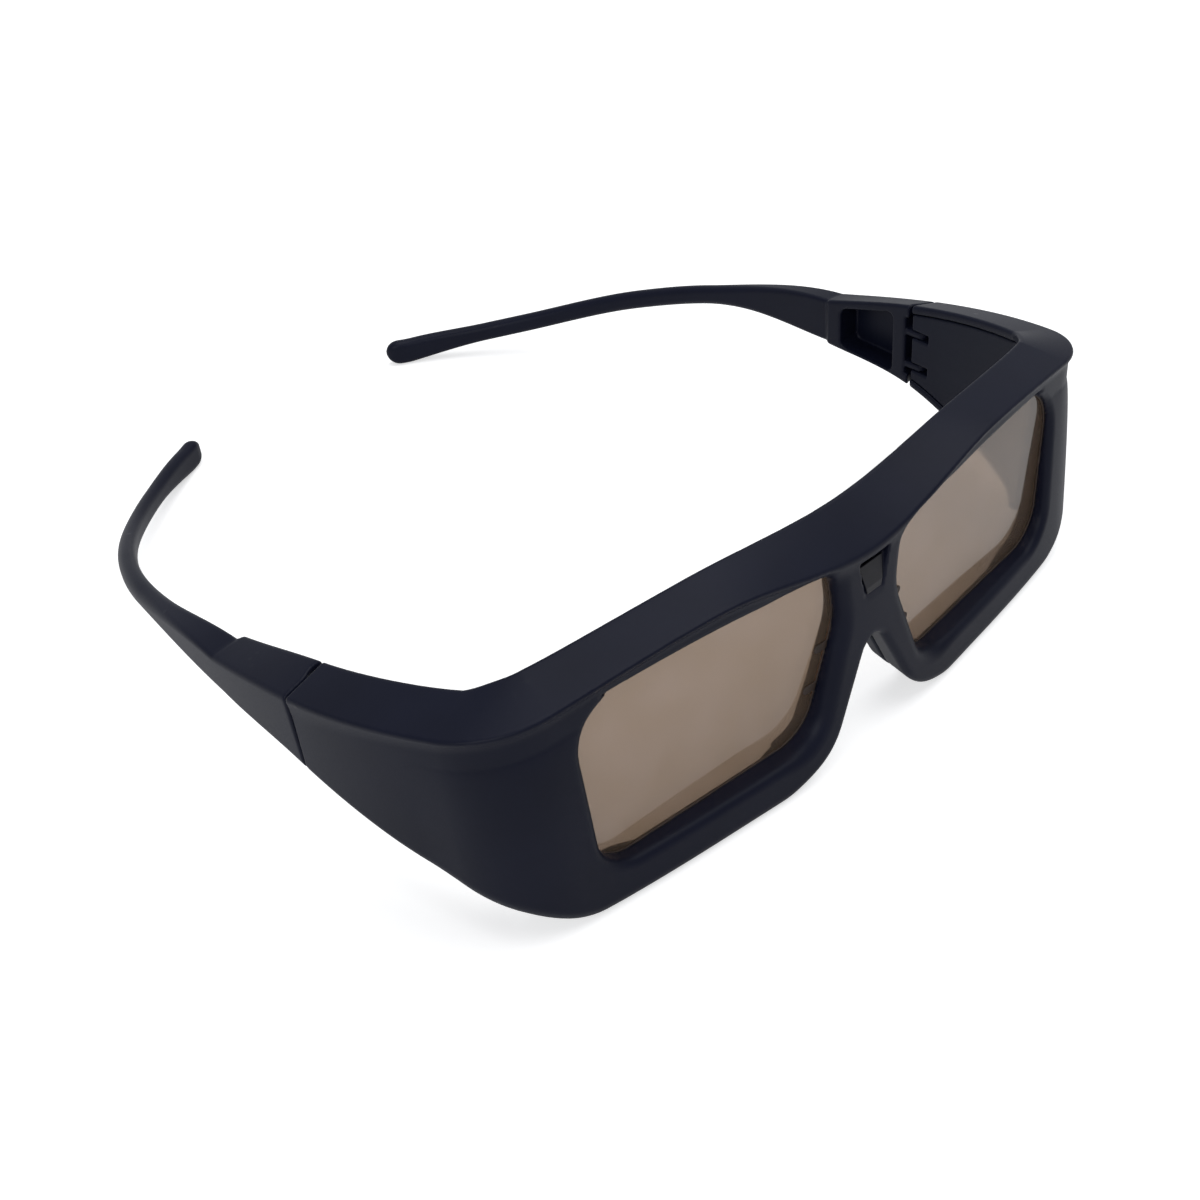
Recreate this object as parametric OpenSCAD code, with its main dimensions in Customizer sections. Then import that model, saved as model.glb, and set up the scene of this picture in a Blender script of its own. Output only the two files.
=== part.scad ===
// Active shutter 3d glasses with folding temples.
// Millimetres. +Z is up, the lenses face -Y, the temples run back along +Y, +X is the wearer's left.
// The origin is at the bottom centre of the open glasses, on the surface they rest on.
// Brow, wings and temples follow one plan curve, and every section is set out inwards from it.

/* [Plan curve] */
// Radius of the brow seen from above
brow_r = 290; // [260:5:330]
// Half width of the brow up to the start of the corner
brow_half = 61.8; // [60.5:0.1:63]
// Radius of the front corners seen from above
corner_r = 17.9; // [16.5:0.1:19]
// Angle that a front corner turns through
corner_turn = 59.4; // [58:0.1:61]
// Radius of the side wings seen from above
wing_r = 107; // [100:1:115]
// Angle that a side wing turns through
wing_turn = 16.5; // [15.5:0.1:17.5]
// Radius of the first part of a temple seen from above
shank_r = 292; // [280:1:310]
// Length of the first part of a temple behind the joint
shank_len = 59.7; // [57:0.1:62]
// Radius of the curved part of a temple
temple_r = 101; // [96:1:108]
// Angle that the curved part of a temple turns through
temple_turn = 49.1; // [46:0.1:51]

/* [Heights of the front] */
// Height of the front ridge over the middle of a lens
ridge_lens = 45.6; // [45:0.1:46]
// How much lower the ridge lies over the nose
bridge_drop = 5.4; // [4.8:0.1:6]
// How much lower the ridge lies at the front corner
corner_drop = 4; // [3.4:0.1:4.6]
// How much lower the ridge lies at the temple joint
joint_drop = 11.2; // [10.8:0.1:11.6]
// Rise of the brow from the ridge to its back edge over the nose
rise_bridge = 6; // [5.4:0.1:6.6]
// Rise of the brow from the ridge to its back edge over a lens
rise_lens = 1.8; // [1.4:0.1:2.4]
// Rise of the brow from the ridge to its inner edge at the front corner
rise_corner = 2.2; // [1.8:0.1:2.6]
// Rise of the brow from the ridge to its inner edge at the temple joint
rise_joint = 2.3; // [1.9:0.1:2.7]
// Height of the lower edge at the front corner
base_corner = 5; // [4.2:0.1:5.6]
// Height of the lower edge at the temple joint
base_joint = 18; // [17.6:0.1:18.4]

/* [Front section] */
// Depth of the brow over the nose, front to back
brow_w = 9; // [8.8:0.1:10]
// Depth of the section at the front corner
corner_w = 9.6; // [9.2:0.1:10]
// Depth of the section at the temple joint
joint_w = 8.1; // [8:0.1:8.6]
// How far the ridge stands out over the rim face at the nose
lip_bridge = 0.6; // [0.5:0.1:1]
// How far the ridge stands out over the rim face at the middle of a lens
lip_lens = 1.6; // [1.3:0.1:1.9]
// How far the ridge stands out over the face at the front corner
lip_corner = 1; // [0.6:0.1:1.4]
// How far the ridge stands out over the outer face of a wing at the joint
lip_wing = 0.3; // [0.2:0.05:0.6]
// Height of the lip under the ridge
lip_h = 1.3; // [1:0.1:1.8]
// Radius of the lower front edge
rim_edge_r = 2.6; // [1.5:0.1:3.2]
// Wall of the wings and of the brow
wall = 1.8; // [1.4:0.1:2]
// Depth from the ridge to the back of the front moulding round the lenses
core_depth = 5.2; // [5:0.1:5.5]
// Gap between the front moulding and the rear cover, where the flat leads lie
lead_gap = 0.6; // [0.4:0.1:0.8]
// Assembly clearance between fixed pieces
seam = 0.1; // [0.08:0.01:0.12]
// Thickness of the rear cover
rear_t = 2; // [1.8:0.1:2.2]

/* [Lenses] */
// Width of the bridge between the lens openings
bridge_w = 14.8; // [14:0.2:17]
// Width of a lens opening
lens_w = 51; // [49:0.5:52]
// Height of the rim between a lens opening and the ridge
rim_over = 3.5; // [3.3:0.1:4.5]
// Height of the lower edge of a lens opening
lens_base = 8.3; // [7.5:0.1:9]
// How far the lower nose corner of the opening lies out from its nose edge
nose_slant = 7; // [5:0.5:9]
// How far the outer end of the top edge lies below its middle
lens_crown = 1.7; // [1:0.1:2.5]
// How far the nose end of the top edge lies below its middle
nose_crown = 2.9; // [2:0.1:4]
// Depth of the edge of a lens opening behind the ridge at the nose
lens_near = 2.4; // [2.2:0.1:2.6]
// Depth of the edge of a lens opening behind the ridge at its outer end
lens_far = 1.1; // [0.9:0.1:1.3]
// Width of the rolled edge of a lens opening
lens_lip = 1.8; // [1.2:0.1:2]
// Depth of the rolled edge of a lens opening
lens_roll = 1.8; // [1.4:0.1:2]
// Depth of the lens seat behind the edge of the opening
lens_set = 1.2; // [1:0.1:1.4]
// Thickness of a shutter cell
lens_t = 2; // [1.6:0.1:2.2]
// How far a shutter cell reaches behind the rim
lens_margin = 1; // [0.8:0.1:1.1]
// Width of the seal round a shutter cell
seal_w = 0.5; // [0.4:0.1:0.6]
// Thickness of the seal's front flange
seal_t = 0.35; // [0.25:0.05:0.4]
// Radius of the two contact pads on the nose side
pad_r = 0.8; // [0.6:0.05:1]

/* [Nose] */
// Height of the nose arch
arch_h = 22.3; // [21:0.1:23]
// Half width of the nose arch at its top
arch_top = 1.5; // [1.4:0.1:1.8]
// Half width of the nose arch at its foot
arch_foot = 12.8; // [12:0.1:13.2]
// How far the sides of the nose arch spread for each millimetre of depth
arch_splay = 0.2; // [0.15:0.05:0.25]
// Thickness of the nose pad
nose_pad_t = 1.2; // [1:0.1:1.4]
// How far the nose pad stands out behind the rear cover
nose_pad_back = 1.4; // [1:0.1:1.8]
// Height of the lower ends of the nose pad
nose_pad_foot = 3.2; // [2.8:0.1:6]

/* [Sensor] */
// Width of the sensor recess in the bridge
sensor_w = 6.8; // [6:0.1:7.4]
// Width of the sensor recess at its foot
sensor_foot = 3.6; // [3:0.1:4.4]
// Height of the sensor recess
sensor_h = 7.4; // [7:0.1:8]
// Depth of the sensor recess at its top
sensor_depth = 1.6; // [1.2:0.1:1.8]
// Thickness of the sensor window
window_t = 0.6; // [0.5:0.1:0.8]

/* [Temples] */
// Length of the thick hollow part of a temple
thick_len = 24; // [22:0.5:27]
// Width of the thick part at its end
thick_w = 6.6; // [6.2:0.1:7.2]
// Step from the thick part down to the arm
thick_step = 0.9; // [0.4:0.1:1.2]
// Height of the middle of the temple at the end of the thick part
axis_thick = 25.1; // [24.5:0.1:25.8]
// Height of the temple at the end of the thick part
thick_h = 10.3; // [9.8:0.1:11]
// Width of the arm
arm_w = 3.8; // [3.6:0.1:4.4]
// Height of the arm
arm_h = 4.6; // [4.4:0.1:5.2]
// Height of the middle of the arm where it starts to curve
axis_bend = 22.8; // [22.2:0.1:23.4]
// Height of the middle of the arm a third of the way along its curve
axis_mid = 16; // [15:0.1:17]
// Height of the middle of the arm two thirds of the way along its curve
axis_low = 8; // [7.4:0.1:8.6]
// Height of the rounded end of the arm
tip_h = 6.3; // [6:0.1:6.8]

/* [Hinges] */
// Radius of a hinge pin
pin_r = 0.6; // [0.5:0.05:0.7]
// Distance of the pin from the inner face of the wing
pin_inset = 1.7; // [1.6:0.05:1.9]
// Distance of the pin in front of the joint
pin_back = 1.7; // [1.6:0.05:1.9]
// Radius of the eye of a hinge ear
ear_r = 1.4; // [1.3:0.05:1.5]
// Thickness of a hinge ear
ear_t = 1.3; // [1.2:0.1:1.6]
// Distance between the middles of the two ears
ear_pitch = 7.4; // [7:0.1:7.8]
// How far the ears lie above the middle of the joint
ear_lift = 0.4; // [0.2:0.1:0.6]
// Clearance of an ear in its slot, above and below it
ear_gap = 0.25; // [0.2:0.05:0.35]
// Running clearance of the ears round the pin
pin_gap = 0.05; // [0.02:0.01:0.08]
// Gap between wing and temple at the joint
joint_gap = 0.3; // [0.3:0.05:0.5]

/* [Wing covers and electronics] */
// Fit of screws, pins and lenses in their holes
fit = 0.03; // [0.02:0.01:0.04]
// Thickness of a wing cover
cover_t = 1.5; // [1.2:0.1:1.6]
// How far a wing cover is set back from the inner edge of the brow
cover_inset = 0.25; // [0.1:0.05:0.4]
// Clearance of a wing cover at its upper and lower edge
cover_gap = 0.3; // [0.3:0.05:0.4]
// Diameter of the coin cell
cell_d = 20; // [16:0.5:20]
// Thickness of the coin cell
cell_t = 3.2; // [2:0.1:3.2]
// Distance of the cell's middle in front of the temple joint
cell_back = 18; // [17.8:0.1:18.4]
// Height of the cell's middle over the middle of the wing
cell_lift = 0.4; // [0.2:0.1:0.6]
// Side of the battery door
door_side = 22.5; // [21:0.5:23]
// Radius of the small screws
screw_r = 0.7; // [0.5:0.05:0.8]
// Radius of the screw heads
head_r = 1.4; // [1.2:0.05:1.6]
// Height of the screw heads
head_h = 0.8; // [0.6:0.1:1]
// Length of a screw under its head
screw_len = 4.6; // [4:0.1:5]
// Length of the driver board
board_len = 19; // [16:0.5:20]
// Height of the driver board
board_h = 15; // [12:0.5:16]
// Thickness of the driver board
board_t = 1; // [0.8:0.1:1.2]

/* [Hidden] */
$fn = 40;
body_colour = "#23262f";
inner_colour = "#1b1d22";
steel_colour = "#b9bcc0";
rubber_colour = "#101114";
lens_colour = "#8b7d72";
flex_colour = "#7a4a1c";
board_colour = "#1d4a2c";
eps = 0.01;
// How far a cutting shape runs past what it cuts
past = 3;
beyond = 20;

// Edges and corners of the front
edge_top = 0.9;
edge_ridge = 0.7;
edge_in = 0.5;
edge_fine = 0.3;
edge_cover = 0.6;
gusset = 1.2;
flange_w = 0.9;
rim_run = 4;

// Corners of a lens opening: radii, and how far they lie in from its box
corner_nose_low = 5;
corner_out_low = 4;
corner_out_high = 3.2;
corner_nose_high = 4.5;
nose_bend_r = 14;
nose_bend = 0.6;
lean_out = 0.4;
lean_nose = 1.4;
crown_x = 3;
lens_window = 0.3;
lens_flare = 3.2;
seal_show = 0.7;
pad_reach = 0.8;
pad_low = 8.3;
pad_high = 15.6;

// Nose arch and nose pad
arch_corner_r = 1.3;
arch_foot_r = 9;
arch_flank = 12;
arch_below = 6;
arch_under = 0.3;
arch_fall = 2;
nose_pad_proud = 0.15;
pad_end_r = 0.4;
pad_outer_r = 2.2;
pad_inner_r = 1.2;

// Sensor, leads and brow cable
sensor_drop = 0.6;
aperture_r = 1.5;
aperture_drop = 2.6;
receiver_w = 4.4;
receiver_h = 4.6;
receiver_t = 2;
snout_len = 1.6;
tail_w = 1.2;
tail_t = 0.2;
tail_y = 0.4;
tail_gap = 0.15;
tail_below = 3;
flex_t = 0.3;
flex_h = 0.9;

// Screws
slot_w = 0.5;
tip_gap = 0.3;
screw_aside = 4.5;
screw_over = 4;
boss_r = 1.9;
boss_over = 0.4;
door_under = 0.9;
door_rim = 2.2;
door_corner_r = 2;
door_screw_ahead = 9;
door_screw_up = 2.1;

// Hinge block of a wing cover
block_len = 5.2;
block_w = 4.6;
end_t = 1.2;
slot_len = 4.4;
pin_len = 12.2;
cover_lead = 3;
cover_tail = 1;

// Board, cell and contacts
board_back = 17.5;
board_u = 4.5;
board_lift = 0.7;
post_r = 1.2;
post_inset = 2;
chip_side = 5;
chip_t = 1;
chip_small_w = 2;
chip_small_h = 3;
cell_u = 3.4;
cell_step = 0.4;
cell_rim = 1.2;
contact_t = 0.25;
spring_w = 6;
spring_h = 8;
spring_lead_w = 1.6;
spring_lead = 6;
clip_h = 6;
clip_foot = 1.6;
clip_inset = 0.6;

// Temple
arm_lead = 26;
arm_blend = 36;
arm_spots = [0.31, 0.62, 0.93];
arm_round = 1.7;
crest_thick = 1;
crest_arm = 0.5;
edge_low = 1;
step_run = 1.6;
tip_lead = 26;
tip_blend = 22;
tip_lift = 0.1;
tip_round = 3.4;
pocket_from = 5;
pocket_end = 4.6;
pocket_front_r = 0.8;
pocket_back_r = 2;
floor_t = 0.9;
roof_t = 2;
strip_y = 1.6;
strip_low = 1.8;
strip_high = 1.1;
strip_u = 2;
ear_root = 2;

// Heights worked out from the driving ones
ridge_bridge = ridge_lens - bridge_drop;
ridge_corner = ridge_lens - corner_drop;
ridge_joint = ridge_lens - joint_drop;
top_bridge = ridge_bridge + rise_bridge;
top_lens = ridge_lens + rise_lens;
top_corner = ridge_corner + rise_corner;
top_joint = ridge_joint + rise_joint;
lens_h = ridge_lens - rim_over - lens_base;
ear_mid = (base_joint + ridge_joint)/2 + ear_lift;
ear_heights = [ear_mid - ear_pitch/2, ear_mid + ear_pitch/2];
pin_foot = ear_mid - pin_len/2;

// Distances along the plan curve, from the middle of the brow
brow_turn = asin(brow_half/brow_r);
arcs = [[brow_r, brow_turn], [corner_r, corner_turn], [wing_r, wing_turn],
    [shank_r, shank_len/shank_r*180/PI], [temple_r, temple_turn]];
function arc_len(i) = arcs[i][0]*arcs[i][1]*PI/180;
s_brow = arc_len(0);
s_split = s_brow + arc_len(1)/2;
s_wing = s_brow + arc_len(1);
s_joint = s_wing + arc_len(2);
s_thick = s_joint + thick_len;
s_tip = s_joint + shank_len + arc_len(4);
s_bend = s_thick + arm_lead;
s_flat = s_brow - rim_run;
lens_mid = bridge_w/2 + lens_w/2;

// Smooth curve through stations [distance, value], level at the first one
function grade(st, i) =
    let (a = st[max(i - 1, 0)], b = st[min(i + 1, len(st) - 1)])
    i == 0 ? 0 : (b[1] - a[1])/(b[0] - a[0]);
function along(st, s, i = 0) =
    i < len(st) - 2 && s > st[i + 1][0] ? along(st, s, i + 1)
    : let (a = st[i], b = st[i + 1], h = b[0] - a[0], t = (s - a[0])/h)
      a[1]*(1 + 2*t)*(1 - t)*(1 - t) + h*grade(st, i)*t*(1 - t)*(1 - t)
      + b[1]*t*t*(3 - 2*t) + h*grade(st, i + 1)*t*t*(t - 1);
function smooth(t) = let (k = min(1, max(0, t))) k*k*(3 - 2*k);
function mix(a, b, t) = a + (b - a)*t;

// Sizes of the section at a distance s along the plan curve
axis_tip = tip_h/2;
axis_heights = [axis_mid, axis_low, axis_tip + tip_lift];
axis_line = concat([[0, axis_thick], [s_thick, axis_thick], [s_bend, axis_bend]],
    [for (i = [0:2]) [mix(s_bend, s_tip, arm_spots[i]), axis_heights[i]]], [[s_tip, axis_tip]]);
high_line = [[0, top_bridge], [lens_mid, top_lens], [s_split, top_corner], [s_joint, top_joint],
    [s_thick, axis_thick + thick_h/2]];
ridge_line = [[0, ridge_bridge], [lens_mid, ridge_lens], [s_split, ridge_corner], [s_joint, ridge_joint],
    [s_thick, axis_thick + thick_h/2 - crest_thick]];
base_line = [[s_flat, 0], [s_split, base_corner], [s_joint, base_joint], [s_thick, axis_thick - thick_h/2]];
width_line = [[0, brow_w], [s_split, corner_w], [s_joint, joint_w], [s_thick, thick_w],
    [s_bend, arm_w + thick_step], [s_tip, arm_w + thick_step]];
lip_line = [[0, lip_bridge], [lens_mid, lip_lens], [s_split, lip_corner], [s_joint, lip_wing]];
function arm_share(s) = smooth((s - s_thick)/arm_blend);
function step_at(s) = thick_step*smooth((s - s_thick)/step_run + 1/2);
function half_h(s) =
    mix(mix(thick_h, arm_h, arm_share(s)), tip_h, smooth((s - s_tip + tip_lead)/tip_blend))/2;
function top_z(s) = s < s_thick ? along(high_line, s) - step_at(s)/2
    : along(axis_line, s) + half_h(s) - step_at(s)/2*(1 - arm_share(s));
function ridge_z(s) = s < s_thick ? along(ridge_line, s)
    : along(axis_line, s) + half_h(s) - mix(crest_thick, crest_arm, arm_share(s));
function base_z(s) = s < s_flat ? 0 : s < s_thick ? along(base_line, s) : along(axis_line, s) - half_h(s);
function width(s) = along(width_line, s) - step_at(s);
function lip(s) = along(lip_line, min(s, s_joint));
function under_brow(s, u) = mix(ridge_z(s), top_z(s), u/width(s)) - wall;

// Points on the plan curve, and u inwards from it; a negative s is on the wearer's right
function arc_step(r, a, b) = r*[sin(b) - sin(a), cos(a) - cos(b)];
function walk(s, i = 0, p = [0, 0], a = 0) =
    s > arc_len(i) && i < len(arcs) - 1
    ? walk(s - arc_len(i), i + 1, p + arc_step(arcs[i][0], a, a + arcs[i][1]), a + arcs[i][1])
    : let (b = a + s/arcs[i][0]*180/PI) [p + arc_step(arcs[i][0], a, b), b];
function heading(s) = walk(abs(s))[1];
function plan(s, u) =
    let (w = walk(abs(s)), p = w[0] + u*[-sin(w[1]), cos(w[1])])
    [s < 0 ? -p[0] : p[0], p[1]];
function place(s, u, z) = let (p = plan(s, u)) [p[0], p[1] + front_y, z];
function ring(s, outline) = [for (p = outline) place(s, p[0], p[1])];

// Outlines of corners [x, y, radius], run anticlockwise, with n steps round each corner
function flat(p) = [p[0], p[1]];
function unit(v) = v/norm(v);
function turn(v, a) = [v[0]*cos(a) - v[1]*sin(a), v[0]*sin(a) + v[1]*cos(a)];
function arc_corner(a, b, c, n) =
    let (u = unit(flat(a) - flat(b)), v = unit(flat(c) - flat(b)), half = acos(u*v)/2,
        middle = flat(b) + unit(u + v)*b[2]/sin(half),
        start = flat(b) + u*b[2]/tan(half) - middle,
        sweep = (180 - 2*half)*(cross(u, v) < 0 ? 1 : -1))
    [for (k = [0:n]) middle + turn(start, sweep*k/n)];
function rounded(c, n) =
    let (m = len(c)) [for (i = [0:m - 1]) each arc_corner(c[(i + m - 1) % m], c[i], c[(i + 1) % m], n)];
function grow(c, d) =
    let (m = len(c))
    [for (i = [0:m - 1])
        let (e = unit(flat(c[i]) - flat(c[(i + m - 1) % m])), f = unit(flat(c[(i + 1) % m]) - flat(c[i])),
            a = turn(e, -90), b = turn(f, -90), p = flat(c[i]) + d*(a + b)/(1 + a*b))
        [p[0], p[1], c[i][2] + d]];
function mirrored(c) = concat(c, [for (i = [len(c) - 1:-1:0]) [-c[i][0], c[i][1], c[i][2]]]);

// Solid through a row of rings that all have the same even number of points
module skin(rings) {
    n = len(rings[0]);
    m = len(rings);
    sides = [for (i = [0:m - 2]) for (j = [0:n - 1])
        let (k = (j + 1) % n) [(i + 1)*n + j, (i + 1)*n + k, i*n + k, i*n + j]];
    first = [for (j = [0:n/2 - 2]) [j, j + 1, n - 2 - j, n - 1 - j]];
    last = [for (f = first) [for (k = [3:-1:0]) (m - 1)*n + f[k]]];
    polyhedron([for (r = rings) each r], concat(sides, first, last), convexity = 10);
}

// Prism of a front view outline, from y0 back to y1
module from_front(outline, y0, y1) {
    translate([0, y1, 0]) rotate([90, 0, 0]) linear_extrude(y1 - y0) polygon(outline);
}

// Distances at which the front is sectioned, for one half and for both
brow_steps = 13;
corner_steps = 8;
wing_steps = 6;
half_steps = concat([for (i = [0:brow_steps]) s_brow*i/brow_steps],
    [for (i = [1:corner_steps]) mix(s_brow, s_wing, i/corner_steps)],
    [for (i = [1:wing_steps]) mix(s_wing, s_joint, i/wing_steps)]);
front_steps = concat([for (i = [len(half_steps) - 1:-1:1]) -half_steps[i]], half_steps);
cover_steps = [for (s = front_steps) if (abs(s) < s_split + eps) s];

thick_steps = 4;
step_steps = 4;
arm_steps = 26;
cap_steps = 4;
step_from = s_thick - step_run/2;
step_to = s_thick + step_run/2;
temple_steps = concat([for (i = [0:thick_steps]) mix(s_joint + joint_gap, step_from, i/thick_steps)],
    [for (i = [1:step_steps]) mix(step_from, step_to, i/step_steps)],
    [for (i = [1:arm_steps]) mix(step_to, s_tip - tip_round, i/arm_steps)],
    [for (i = [1:cap_steps]) s_tip - tip_round*(1 - sin(90*i/cap_steps))]);

// The plan curve is moved so that the origin is in the middle of the part's depth
front_reach = min([for (p = shell_section(0)) p[0]]);
back_reach = max([for (s = temple_steps) for (p = temple_section(s)) plan(s, p[0])[1]]);
front_y = -(front_reach + back_reach)/2;

// Frame of a lens: x along the rim, y back from the edge of the opening, z up
face_near = place(bridge_w/2 + corner_nose_low, lens_near, 0);
face_far = place(bridge_w/2 + lens_w, lens_far, 0);
lens_yaw = atan2(face_far[1] - face_near[1], face_far[0] - face_near[0]);
lens_y = face_near[1] + (lens_mid - face_near[0])*tan(lens_yaw);
lens_top = lens_base + lens_h;
crown_r = lens_w*lens_w/(lens_crown + nose_crown)/3;
lens_corners = [[nose_slant - lens_w/2, lens_base, corner_nose_low],
    [lens_w/2 - lean_out, lens_base, corner_out_low],
    [lens_w/2, lens_top - lens_crown, corner_out_high],
    [crown_x, lens_top, crown_r],
    [lean_nose - lens_w/2, lens_top - nose_crown, corner_nose_high],
    [-lens_w/2, lens_base + lens_h*nose_bend, nose_bend_r]];
lens_steps = 6;
function lens_outline(d) = rounded(grow(lens_corners, d), lens_steps);
module lens_frame() {
    translate([lens_mid, lens_y, 0]) rotate([0, 0, lens_yaw]) children();
}
module lens_prism(d, y0, y1) {
    lens_frame() from_front(lens_outline(d), y0, y1);
}
module lens_ring(d_in, d_out, y0, y1) {
    difference() {
        lens_prism(d_out, y0, y1);
        lens_prism(d_in, y0 - past, y1 + past);
    }
}
lens_front = lens_set + seal_t;
lens_back = lens_front + lens_t;
seat_margin = lens_margin + seal_w + seam;

// Opening of a lens with its rolled edge
roll_steps = 5;
module lens_opening() {
    lens_prism(0, -eps, lens_back);
    lens_frame() skin(concat(
        [for (k = [0:roll_steps])
            let (a = 90*k/roll_steps)
            [for (p = lens_outline(lens_lip*(1 - cos(a)))) [p[0], -lens_roll*sin(a), p[1]]]],
        [[for (p = lens_outline(lens_lip)) [p[0], -lens_roll - past, p[1]]]]));
}

cover_front = core_depth + lead_gap + seam;
cover_back = cover_front + rear_t;

// Nose arch: y is the depth behind the ridge over the nose, d the distance outside the arch
arch_lean = norm([arch_foot - arch_top, arch_h])/arch_h;
function arch_side(y, z, d) =
    mix(arch_foot, arch_top, z/arch_h) + arch_splay*(y - lip_bridge) + d*arch_lean;
arch_steps = 4;
function arch_outline(y, d) = rounded(mirrored([[arch_foot + arch_flank, -arch_below, edge_in],
    [arch_foot + arch_flank, -arch_fall, edge_in], [arch_side(y, -arch_under, d), -arch_under, arch_foot_r],
    [arch_side(y, arch_h + d, d), arch_h + d, arch_corner_r + d/2]]), arch_steps);
module nose_cut(y0, y1, d) {
    skin([for (y = [y1, y0]) [for (p = arch_outline(y, d)) [p[0], front_y + y, p[1]]]]);
}

// Sensor recess in the bridge: a wedge, deepest at its top
sensor_top = ridge_bridge - lip_h - sensor_drop;
sensor_low = sensor_top - sensor_h;
sensor_face = front_y + lip_bridge;
aperture_z = sensor_top - aperture_drop;
module sensor_prism(profile, gap) {
    intersection() {
        side_prism(profile, -sensor_w, sensor_w);
        from_front([[gap - sensor_w/2, sensor_top], [gap - sensor_foot/2, sensor_low],
            [sensor_foot/2 - gap, sensor_low], [sensor_w/2 - gap, sensor_top]],
            sensor_face - beyond, sensor_face + beyond);
    }
}

// Screws of the rear cover: [x, y of the cover's back face, z]
screw_side = place(bridge_w/2 + lens_w + screw_aside, cover_back, lens_base + lens_h/2);
screw_spots = [[0, front_y + cover_back, arch_h + nose_pad_t + screw_over], screw_side,
    [-screw_side[0], screw_side[1], screw_side[2]]];
sink = head_h + seam;
module screw_holes(r, from, to) {
    for (p = screw_spots) translate([p[0], p[1] - from, p[2]]) rotate([90, 0, 0])
        cylinder(r = r, h = to - from);
}
module screw() {
    difference() {
        union() {
            translate([0, 0, -screw_len]) cylinder(r = screw_r, h = screw_len + eps);
            cylinder(r = head_r, h = head_h);
        }
        translate([-head_r, -slot_w/2, head_h/2]) cube([2*head_r, slot_w, head_h]);
    }
}

// Frames in the left wing, with x outwards and y back along the wing
module wing_frame(back) {
    translate(place(s_joint - back, 0, 0)) rotate([0, 0, heading(s_joint - back) - 90]) children();
}
module side_prism(outline, x0, x1) {
    translate([x0, 0, 0]) rotate([90, 0, 90]) linear_extrude(x1 - x0) polygon(outline);
}
cover_u = joint_w - cover_inset - cover_t;
boss_u = cover_u + boss_over;
door_sink = boss_u + door_under;
door_screw_z = base_z(s_joint - cell_back - door_screw_ahead) + wall + door_rim + door_screw_up;
module door_screw_at(u) {
    wing_frame(cell_back) translate([-u, -door_screw_ahead, door_screw_z]) rotate([0, -90, 0]) children();
}

// Front moulding
function shell_section(s) =
    let (a = abs(s), w = width(a), e = lip(a), zt = top_z(a), zr = ridge_z(a), zb = base_z(a),
        brow = a < s_split + eps, f = brow ? core_depth : e + wall, part = brow ? core_depth + lead_gap : w)
    rounded([[w, zt, edge_top], [0, zr, edge_ridge], [e, zr - lip_h, edge_in], [e, zb, rim_edge_r],
        [part, zb, edge_fine], [part, zb + wall, edge_fine], [f, zb + wall, edge_in],
        [f, under_brow(a, f) - gusset, edge_in], [f + gusset, under_brow(a, f + gusset), edge_in],
        [w, zt - wall, edge_fine]], 2);
module front_frame() {
    color(body_colour) difference() {
        union() {
            skin([for (s = front_steps) ring(s, shell_section(s))]);
            mirror([1, 0, 0]) door_screw_at(lip_wing + wall)
                cylinder(r = boss_r, h = boss_u - lip_wing - wall);
        }
        for (k = [0, 1]) mirror([k, 0, 0]) {
            lens_opening();
            lens_prism(seat_margin, lens_set, core_depth + past);
        }
        nose_cut(0, brow_w + past, 0);
        sensor_prism([[sensor_face - past, sensor_top], [sensor_face + sensor_depth, sensor_top],
            [sensor_face, sensor_low], [sensor_face - past, sensor_low]], 0);
        translate([0, sensor_face + core_depth, aperture_z]) rotate([90, 0, 0])
            cylinder(r = aperture_r, h = core_depth);
        screw_holes(screw_r + fit, sink, sink + screw_len + tip_gap);
        mirror([1, 0, 0]) door_screw_at(door_sink - screw_len - tip_gap)
            cylinder(r = screw_r + fit, h = screw_len);
    }
}

// Rear cover: back half of the rims, which clamps the lenses
function cover_section(s) =
    let (a = abs(s), zb = base_z(a), flange = cover_back - flange_w, shelf = flex_z(a) - seam)
    [[cover_back - edge_cover, zb], [cover_back, zb + edge_cover], [cover_back, shelf - edge_cover],
        [cover_back, shelf],
        [cover_back, under_brow(a, cover_back) - seam], [flange, under_brow(a, flange) - seam],
        [flange, shelf], [cover_front, shelf], [cover_front, zb + edge_cover], [cover_front, zb]];
module rear_cover() {
    color(inner_colour) difference() {
        union() {
            skin([for (s = cover_steps) ring(s, cover_section(s))]);
            for (k = [0, 1]) mirror([k, 0, 0])
                lens_ring(lens_window, lens_margin, lens_back + seam, cover_front - lens_far + edge_cover);
        }
        for (k = [0, 1]) mirror([k, 0, 0]) {
            lens_prism(lens_window, 0, beyond);
            lens_frame() intersection() {
                skin([for (k = [1, 0]) [for (p = lens_outline(lens_window + lens_flare*k))
                    [p[0], lens_back*(1 + k) + edge_in, p[1]]]]);
                from_front([[-lens_w, 0], [lens_w, 0], [lens_w, lens_top], [-lens_w, lens_top]], 0, beyond);
            }
            lens_prism(seat_margin, 0, lens_back + seam);
        }
        nose_cut(core_depth, cover_back + past, nose_pad_t + seam);
        translate([-receiver_w/2 - seam, front_y + core_depth, receiver_z - seam])
            cube([receiver_w + 2*seam, lead_gap + receiver_t, receiver_h + 2*seam]);
        screw_holes(screw_r + 2*fit, -past, brow_w);
        screw_holes(head_r + seam, -past, sink);
    }
}

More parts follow.
